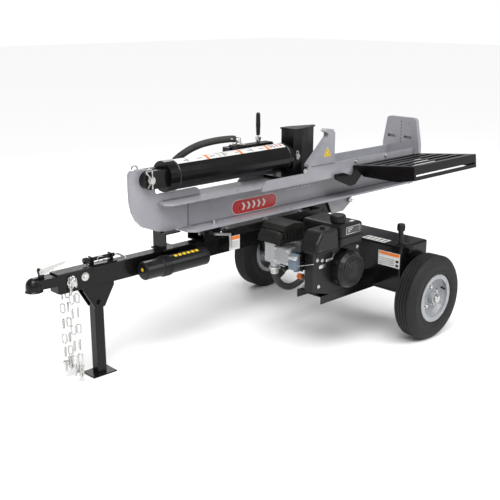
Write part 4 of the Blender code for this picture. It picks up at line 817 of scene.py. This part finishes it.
def top_trim():
    """Seams, latches, vents, the muffler inside its guard, and plain labels."""
    low, high = CLEANER_LOW, CLEANER_HIGH
    add("cleaner_seam", "chassis", "black plastic",
        block(low.x + 0.002, high.x - 0.002, low.y - 0.0015, high.y - 0.004, low.z + 0.001, low.z + 0.008,
              0.002),
        bar((low.x + 0.090, -0.380, high.z - 0.003), (low.x + 0.090, -0.380, high.z + 0.008), 0.011, 10,
            edge=0.002))
    marks = [block(-0.638 + 0.009 * i, -0.633 + 0.009 * i, low.y - 0.0008, low.y + 0.001, 0.520, 0.532,
                   0.0002)
             for i in range(3)]
    add("cleaner_vents", "chassis", "black film", *marks)
    low, high = GUARD_LOW, GUARD_HIGH
    add("muffler", "chassis", "dark steel",
        block(low.x + 0.012, high.x - 0.012, low.y + 0.012, high.y - 0.012, low.z + 0.004, low.z + 0.052,
              0.012, 3),
        bar((low.x + 0.030, high.y - 0.014, low.z + 0.026), (low.x + 0.030, high.y + 0.010, low.z + 0.020),
            0.009, 20))
    low, high = FUEL_LOW, FUEL_HIGH
    seam = low.z + 0.046
    add("fuel_tank_seam", "chassis", "black paint",
        block(low.x - 0.0025, high.x + 0.004, low.y - 0.004, high.y + 0.002, seam - 0.0012, seam + 0.0012,
              0.001))
    x0, x1, z0, z1 = -0.470, -0.376, 0.566, 0.600
    near = low.y - HAIR
    add("tank_label_frame", "chassis", "silver film", block(x0, x1, near, low.y + 0.001, z0, z1, 0.0002))
    add("tank_label", "chassis", "black film",
        block(x0 + 0.003, x1 - 0.003, near - HAIR, low.y + 0.001, z0 + 0.003, z1 - 0.003, 0.0002))
    bars = [block(x0 + 0.010, x0 + 0.046 - 0.010 * i, near - 2 * HAIR, low.y, z1 - 0.010 - 0.007 * i,
                  z1 - 0.0065 - 0.007 * i, 0.0001) for i in range(3)]
    add("tank_label_marks", "chassis", "silver film", *bars)
    cap_low, cap_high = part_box("fuel_cap")
    middle = (cap_low + cap_high) / 2
    grips = ring_of(16, middle, "Z", (0.0315, 0.0350, -0.0022, 0.0022, -0.010, 0.011, 0.0008))
    add("fuel_cap_grips", "fuel_cap_body", "black plastic", *grips)
    add("tank_top_label", "chassis", "white film",
        block(-0.412, -0.386, -0.408, -0.392, high.z - 0.0105, high.z - 0.0096))


def engine_trim():
    cooling_dome()
    engine_head_trim()
    top_trim()


engine_trim()


# ------------------------------------------------------------------ beam and ram
def hairpin(place, along, out, size):
    """R-shaped clip: a straight leg, a bow and a waved leg."""
    along, out = Vector(along).normalized(), Vector(out).normalized()
    place = Vector(place)
    flat = [(-0.50, 0.00), (0.55, 0.00)] + [(0.55 + 0.22 * math.sin(t), 0.22 - 0.22 * math.cos(t))
                                            for t in [math.pi * i / 8 for i in range(1, 8)]]
    flat += [(0.50, 0.40), (0.28, 0.22), (0.05, 0.30), (-0.12, 0.16), (-0.40, 0.34)]
    points = [place + size * (along * a + out * b) for a, b in flat]
    return tube(smooth_path(points, 3), size * 0.045, 8)


def pin_clips():
    for side in (-1, 1):
        name = "near" if side < 0 else "far"
        end = Vector((CLEVIS_X, BEAM_Y + side * 0.0535, RAM_Z))
        add(f"clevis_clip_{name}", "beam_body", "zinc", hairpin(end, (0, 0, 1), (-1, 0, 0), 0.070))
    end = Vector((-0.182, BEAM_Y - 0.0515, RAM_Z))
    add("wedge_clip", "ram", "zinc", hairpin(end, (0, 0, 1), (-1, 0, 0), 0.035))


def bead(name, body, material, start, end, radius=0.004):
    """Weld bead of overlapping ripples from start to end."""
    start, end = Vector(start), Vector(end)
    count = max(3, int((end - start).length / (radius * 1.2)))
    points = [start.lerp(end, i / (count * 2)) for i in range(count * 2 + 1)]
    shape = tube(points, radius, 8)
    ahead = (end - start).normalized()
    for v in shape.verts:
        along = (v.co - start).dot(ahead)
        centre = start + ahead * along
        swell = 1.0 + 0.16 * math.sin(along / radius * 2.6)
        v.co = centre + (v.co - centre) * swell
    add(name, body, material, shape, smooth=70)


def beam_welds():
    """Beads along the web, round the lug, the strippers and the foot plate."""
    flange_half = 0.083
    y0, y1 = BEAM_Y - flange_half, BEAM_Y + flange_half
    x = FOOT_LOW.x - 0.001
    web = 0.0065
    for side, name in ((-1, "near"), (1, "far")):
        edge = BEAM_Y + side * web
        bead(f"foot_web_weld_{name}", "beam_body", "weld", (x, edge, 0.562), (x, edge, 0.688))
        bead(f"web_top_weld_{name}", "beam_body", "weld", (-0.84, edge, 0.689), (x, edge, 0.689), 0.0032)
        bead(f"web_low_weld_{name}", "beam_body", "weld", (-0.84, edge, 0.561), (x, edge, 0.561), 0.0032)
        bead(f"lug_weld_{name}", "beam_body", "weld", (-0.862, BEAM_Y + side * 0.0085, 0.566),
             (-0.862, BEAM_Y + side * 0.0085, 0.686), 0.0042)
        bead(f"lug_top_weld_{name}", "beam_body", "weld", (-1.000, BEAM_Y + side * 0.0115, 0.7015),
             (-0.800, BEAM_Y + side * 0.0115, 0.7015), 0.0036)
        plate_y = BEAM_Y + side * 0.0915
        bead(f"stripper_weld_{name}", "beam_body", "weld", (-0.13, plate_y - side * 0.0004, 0.7535),
             (0.043, plate_y - side * 0.0004, 0.7535), 0.0028)
    bead("foot_top_weld", "beam_body", "weld", (x, y0 + 0.004, 0.702), (x, y1 - 0.004, 0.702), 0.0045)
    bead("foot_low_weld", "beam_body", "weld", (x, y0 + 0.004, 0.5485), (x, y1 - 0.004, 0.5485), 0.0040)


def cylinder_trim():
    """Gland ring, weld seams round the barrel and the valve's bolts."""
    r = BARREL_R
    gland = [(0.0225, 0.0), (r - 0.010, 0.0), (r - 0.008, 0.002), (r - 0.008, 0.006), (r - 0.014, 0.010),
             (0.0225, 0.010)]
    add("gland_ring", "beam_body", "black paint", turned(gland, (-0.2248, BEAM_Y, RAM_Z), (1, 0, 0), 40))
    seam = [(r - 0.001, -0.004), (r + 0.0022, 0.0), (r - 0.001, 0.004)]
    add("barrel_welds", "beam_body", "black weld", *[turned(seam, (x, BEAM_Y, RAM_Z), (1, 0, 0), 64)
                                                    for x in (-0.940, -0.252)])
    add("valve_bolts", "beam_body", "zinc", *[shape for x in (-0.375, -0.345, -0.275, -0.250)
                                             for shape in bolt((x, VALVE_Y - 0.0285, 0.852), (0, -1, 0),
                                                 0.010, 0.005)])


def badge(name, body, axis, low, high, centre, half, finish_name, steps=14):
    """Flat sticker with round ends."""
    radius = half[1]
    reach = half[0] - radius
    outline = arc(centre[0] + reach, centre[1], radius, -90, 90, steps) + arc(
        centre[0] - reach, centre[1], radius, 90, 270, steps)
    return add(name, body, finish_name, plate(outline, axis, low, high))


def beam_marks():
    """Plain red badge with chevrons on the web, and the caution mark by the hook."""
    face = BEAM_Y - 0.005
    x, z = -0.438, 0.600
    badge("web_badge_edge", "beam_body", "Y", face - 0.0006, face + STUCK, (x, z), (0.152, 0.0365),
          "white film")
    badge("web_badge", "beam_body", "Y", face - 0.0011, face + STUCK, (x, z), (0.149, 0.0335), "red film")
    chevrons = []
    for i in range(5):
        left = x - 0.078 + 0.034 * i
        chevrons.append(plate([(left - 0.010, z - 0.018), (left + 0.002, z - 0.018), (left + 0.014, z),
                               (left + 0.002, z + 0.018), (left - 0.010, z + 0.018), (left + 0.002, z)],
                              "Y", face - 0.0016, face + STUCK))
    add("web_badge_chevrons", "beam_body", "white film", *chevrons)
    dashes = [block(left, left + 0.014, face - 0.0008, face + STUCK, z + 0.034, z + 0.0375)
              for left in [-0.215 + 0.026 * i for i in range(7)]]
    add("web_dashes", "beam_body", "white film", *dashes)
    near = STRIPPER_LOW.y
    tip, wide, tall = (-0.012, 0.838), 0.026, 0.046
    outline = [(tip[0] - wide, tip[1] - tall), (tip[0] + wide, tip[1] - tall), tip]
    add("caution_mark", "beam_body", "yellow film", plate(outline, "Y", near - HAIR, near + STUCK))
    small = [(tip[0], tip[1] - 0.012), (tip[0] - 0.017, tip[1] - 0.040), (tip[0] + 0.017, tip[1] - 0.040)]
    add("caution_edge", "beam_body", "black film", plate(small, "Y", near - 2 * HAIR, near + STUCK))
    inner = [(tip[0], tip[1] - 0.017), (tip[0] - 0.013, tip[1] - 0.038), (tip[0] + 0.013, tip[1] - 0.038)]
    add("caution_face", "beam_body", "yellow film", plate(inner, "Y", near - 3 * HAIR, near + STUCK))


def curved_strip(name, finish_name, x0, x1, first, last, lift):
    """Sticker bent round the barrel, between two angles from straight up towards the engine."""
    shape = bmesh.new()
    steps = max(2, int((last - first) / 6))
    ring = []
    for i in range(steps + 1):
        a = math.radians(first + (last - first) * i / steps)
        for r in (BARREL_R + lift, BARREL_R - 0.0005):
            ring.append((r, a))
    rows = []
    for x in (x0, x1):
        rows.append([shape.verts.new((x, BEAM_Y - r * math.sin(a), RAM_Z + r * math.cos(a))) for r,
                     a in ring])
    for i in range(steps):
        for one, two in ((2 * i, 2 * i + 2), (2 * i + 1, 2 * i + 3)):
            shape.faces.new((rows[0][one], rows[0][two], rows[1][two], rows[1][one]))
    for row in rows:
        for i in range(steps):
            shape.faces.new((row[2 * i], row[2 * i + 1], row[2 * i + 3], row[2 * i + 2]))
    for i in (0, 2 * steps):
        shape.faces.new((rows[0][i], rows[0][i + 1], rows[1][i + 1], rows[1][i]))
    bmesh.ops.recalc_face_normals(shape, faces=shape.faces[:])
    return add(name, "beam_body", finish_name, shape)


def barrel_label():
    """Long white strip with plain orange, black and red panels on the barrel's shoulder."""
    x0, x1 = -0.992, -0.262
    curved_strip("barrel_label", "white film", x0, x1, -6, 36, 0.0003)
    bands = (("orange", "orange film", (0.31, 0.59, 0.83), 0.016, 2, 36),
             ("line", "black film", (0.07, 0.16, 0.42, 0.46, 0.70, 0.90), 0.0035, 0, 34),
             ("red", "red film", (0.87, 0.93, 0.965), 0.008, 6, 28))
    for label, film, shares, wide, first, last in bands:
        for index, share in enumerate(shares):
            x = x0 + share * (x1 - x0)
            curved_strip(f"barrel_{label}_{index}", film, x, x + wide, first, last, 0.0006)
    for index in range(9):
        x = x0 + (0.03 + 0.105 * index) * (x1 - x0)
        curved_strip(f"barrel_grey_{index}", "silver film", x, x + 0.030, 20, 26, 0.0005)


def caution_panel(name, body, axis_box, stripes):
    """White panel with stripes on it; stripes lists each one's box and finish."""
    add(name, body, "white film", block(*axis_box))
    for index, (box, finish_name) in enumerate(stripes):
        add(f"{name}_{index}", body, finish_name, block(*box))


def tank_marks():
    """Plain panels on the oil tank's front and top and on the rail."""
    x = TANK_LOW.x
    y0, y1, z0, z1 = -0.466, -0.342, 0.343, 0.413
    lines = [((x - 3 * HAIR, x, y0 + 0.030, y1 - 0.006, z0 + 0.008 + 0.009 * i, z0 + 0.011 + 0.009 * i),
              "silver film")
             for i in range(4)]
    signs = [((x - 3 * HAIR, x, y0 + 0.006, y0 + 0.022, z0 + 0.006 + 0.020 * i, z0 + 0.018 + 0.020 * i),
              "black film")
             for i in range(2)]
    caution_panel("tank_panel", "chassis", (x - HAIR, x + 0.001, y0, y1, z0, z1),
                  [((x - 2 * HAIR, x, y0 + 0.003, y1 - 0.003, z1 - 0.017, z1 - 0.002),
                    "orange film")] + lines + signs)
    top = TANK_TOP
    lines = [((-0.104, -0.066, y, y + 0.010, top, top + 2 * HAIR), "black film")
             for y in (-0.356, -0.330, -0.304, -0.278, -0.252)]
    caution_panel("tank_top_panel", "chassis", (-0.112, -0.058, -0.368, -0.232, top - 0.001, top + HAIR),
                  lines)
    rail_y = RAIL_LOW.y
    caution_panel("rail_panel", "chassis", (-0.662, -0.596, rail_y - 0.0060, rail_y - 0.0052, 0.418, 0.486),
                  [((-0.660, -0.598, rail_y - 0.0066, rail_y - 0.0052, 0.468, 0.484), "orange film")]
                  + [((-0.655, -0.604, rail_y - 0.0066, rail_y - 0.0052, z, z + 0.003), "silver film")
                     for z in (0.455, 0.444, 0.433)])


def canister_marks():
    """Small plain yellow signs along the paper case and on its cap."""
    cap_low, cap_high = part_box("canister_cap")
    y, z = (cap_low.y + cap_high.y) / 2, (cap_low.z + cap_high.z) / 2
    out = 0.0412                # a little over the case's radius
    lean = math.radians(20)
    for i in range(6):
        place = Matrix.Translation((-1.000 + 0.024 * i, y - out * math.sin(lean), z + out * math.cos(lean)))
        sign = block(-0.008, 0.008, -0.007, 0.007, -0.0006, 0.0006, 0.0002)
        sign.transform(place @ Matrix.Rotation(lean, 4, "X"))
        add(f"case_sign_{i}", "chassis", "yellow film", sign)
    add("cap_sign", "canister_cap_body", "yellow film",
        bar((cap_low.x - 0.0005, y, z + 0.006), (cap_low.x + 0.001, y, z + 0.006), 0.008, 20))
    ridges = [turned([(0.0445, 0.0), (0.0466, 0.001), (0.0466, 0.004), (0.0445, 0.005)], (x, y, z),
                     (1, 0, 0))
              for x in (-1.072, -1.062, -1.052, -1.042)]
    add("cap_ridges", "canister_cap_body", "black plastic", *ridges)


def plumbing():
    """Elbow and nuts on the valve, the return filter's collar and the pump's bolts."""
    x, y, z = WORK_PORT
    elbow = tube(smooth_path([(x, y, z + 0.001), (x, y, z + 0.013), (x - 0.006, y + 0.002, z + 0.024),
                              (x - 0.022, y + 0.006, z + 0.030), (x - 0.034, y + 0.008, z + 0.031)], 4),
                              0.0122, 20)
    add("work_elbow", "beam_body", "zinc", elbow, hexagon((x, y, z + 0.0004), (x, y, z + 0.010), 0.029),
        hexagon((x - 0.036, y + 0.0085, z + 0.031), (x - 0.050, y + 0.011, z + 0.032), 0.029))
    add("port_bolts", "beam_body", "zinc", *bolt((x - 0.020, y + 0.018, z), (0, 0, 1), 0.009, 0.005),
        *bolt((x + 0.020, y - 0.016, z), (0, 0, 1), 0.009, 0.005))
    pump_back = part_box("gear_pump")[1].y
    heads = []
    for dx in (-0.030, 0.030):
        for dz in (-0.040, 0.032):
            heads += bolt((CRANK_X + dx, pump_back, CRANK_Z + dz), (0, 1, 0), 0.013, 0.007)
    add("pump_bolts", "chassis", "zinc", *heads)
    add("return_boss", "chassis", "black paint",
        turned([(0.0095, 0.0), (0.024, 0.0), (0.024, 0.004), (0.015, 0.006), (0.015, 0.009),
                (0.0095, 0.009)],
               (RETURN_X, RETURN_Y, TANK_TOP + HAIR), (0, 0, 1)))
    add("filler_flange", "chassis", "black paint",
        turned([(0.0129, 0.0), (0.027, 0.0), (0.027, 0.004), (0.0135, 0.008), (0.0129, 0.008)],
               (FILLER_X, FILLER_Y, TANK_TOP + HAIR), (0, 0, 1)))
    low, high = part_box("filler_cap")
    middle = (low + high) / 2
    grips = ring_of(14, middle, "Z", (0.0168, 0.0192, -0.0016, 0.0016, -0.012, 0.010, 0.0005))
    add("filler_cap_grips", "filler_cap_body", "black plastic", *grips)


def hose_sleeve():
    """Loose woven sleeve over the middle of the work hose."""
    points = smooth_path([(-0.512, 0.237, 0.9155), (-0.540, 0.243, 0.918), (-0.610, 0.252, 0.917),
                          (-0.690, 0.262, 0.909), (-0.750, 0.273, 0.892), (-0.800, 0.286, 0.866),
                          (-0.832, 0.295, 0.843)], 6)
    add("hose_sleeve", "beam_body", "hose sleeve", tube(points, SLEEVE_R, 24))


def foot_plate_weld():
    """Short dashes of weld down the foot plate, between its pockets."""
    x = FOOT_LOW.x
    dashes = [block(x - 0.0012, x + STUCK, BEAM_Y - 0.003, BEAM_Y + 0.003, z, z + 0.011, 0.0010)
              for z in [0.775 + 0.019 * i for i in range(7)]]
    add("foot_plate_weld", "beam_body", "weld", *dashes)


def frame_bolts():
    """Bolts of the shelf, the hook's strut, the rail, the stand and the hinge."""
    y = STRIPPER_LOW.y
    add("strut_bolt", "beam_body", "zinc", *bolt((-0.176, BEAM_Y - 0.0916, 0.738), (0, -1, 0), 0.013, 0.007))
    add("shelf_bolts", "beam_body", "zinc", *[shape for x in (0.215, 0.470, 0.735)
                                             for shape in bolt((x, y - 0.0003, 0.741), (0, -1, 0), 0.013,
                                                 0.006)])
    rail = [shape for x in (-0.660, -0.400, -0.160) for shape in bolt((x, BEAM_Y - 0.040, RAIL_TOP),
        (0, 0, 1), 0.015, 0.007)]
    add("rail_bolts", "chassis", "zinc", *rail)
    add("front_flange_bolt", "beam_body", "zinc",
        *bolt((-0.730, BEAM_Y - 0.036, 0.560), (0, 0, 1), 0.017, 0.010))
    clip = hairpin((PIVOT.x, PIVOT.y - 0.0535, PIVOT.z), (1, 0, 0), (0, 0, -1), 0.038)
    add("hinge_clip", "chassis", "zinc", clip)


pin_clips()
beam_welds()
cylinder_trim()
beam_marks()
barrel_label()
tank_marks()
canister_marks()
plumbing()
hose_sleeve()
foot_plate_weld()
frame_bolts()


# ------------------------------------------------------------------ floor, light, finish
FLOOR_SIZE = 60.0
FLOOR_TONE = (0.93, 0.93, 0.93, 1.0)
WHITE = (1.0, 1.0, 1.0, 1.0)
LAMPS = (("key", (-3.0, -1.2, 3.6), 1.6, 60.0),     # name, place, size, watts
         ("strip", (1.4, -3.6, 2.6), 1.2, 45.0),
         ("back", (0.8, 3.4, 3.0), 2.0, 60.0))
LIT_POINT = Vector((-0.4, 0.0, 0.5))
SUN_POWER = 2.3
SUN_WIDTH = math.radians(50.0)
SUN_TILT = (math.radians(28.0), math.radians(-14.0), 0.0)
ROOM_LIGHT = 0.42


def floor():
    """Plain pale floor, just under the wheels."""
    bpy.ops.mesh.primitive_plane_add(size=FLOOR_SIZE, location=(0.0, 0.0, -0.0005))
    ground = bpy.context.object
    ground.name = "floor"
    paper = bpy.data.materials.new("floor paper")
    paper.use_nodes = True
    shader = paper.node_tree.nodes["Principled BSDF"]
    shader.inputs["Base Color"].default_value = FLOOR_TONE
    shader.inputs["Roughness"].default_value = 0.9
    ground.data.materials.append(paper)


def lamps():
    """Three soft lamps and a wide sun."""
    for name, place, size, power in LAMPS:
        lamp = bpy.data.lights.new(name, "AREA")
        lamp.size = size
        lamp.energy = power
        item = bpy.data.objects.new(name, lamp)
        item.location = place
        item.rotation_euler = (LIT_POINT - Vector(place)).to_track_quat("-Z", "Y").to_euler()
        bpy.context.scene.collection.objects.link(item)
    sun = bpy.data.lights.new("sun", "SUN")
    sun.energy = SUN_POWER
    sun.angle = SUN_WIDTH
    item = bpy.data.objects.new("sun", sun)
    item.rotation_euler = SUN_TILT
    bpy.context.scene.collection.objects.link(item)


def white_room():
    """White room that lights softly and is plain white where it is seen."""
    world = bpy.data.worlds.new("studio")
    world.use_nodes = True
    tree = world.node_tree
    room = tree.nodes["Background"]
    room.inputs["Color"].default_value = WHITE
    room.inputs["Strength"].default_value = ROOM_LIGHT
    behind = tree.nodes.new("ShaderNodeBackground")
    behind.inputs["Color"].default_value = WHITE
    behind.inputs["Strength"].default_value = 1.0
    seen = tree.nodes.new("ShaderNodeLightPath")
    both = tree.nodes.new("ShaderNodeMixShader")
    tree.links.new(seen.outputs["Is Camera Ray"], both.inputs[0])
    tree.links.new(room.outputs[0], both.inputs[1])
    tree.links.new(behind.outputs[0], both.inputs[2])
    tree.links.new(both.outputs[0], tree.nodes["World Output"].inputs["Surface"])
    bpy.context.scene.world = world
    bpy.context.scene.view_settings.view_transform = "Standard"


floor()
lamps()
white_room()
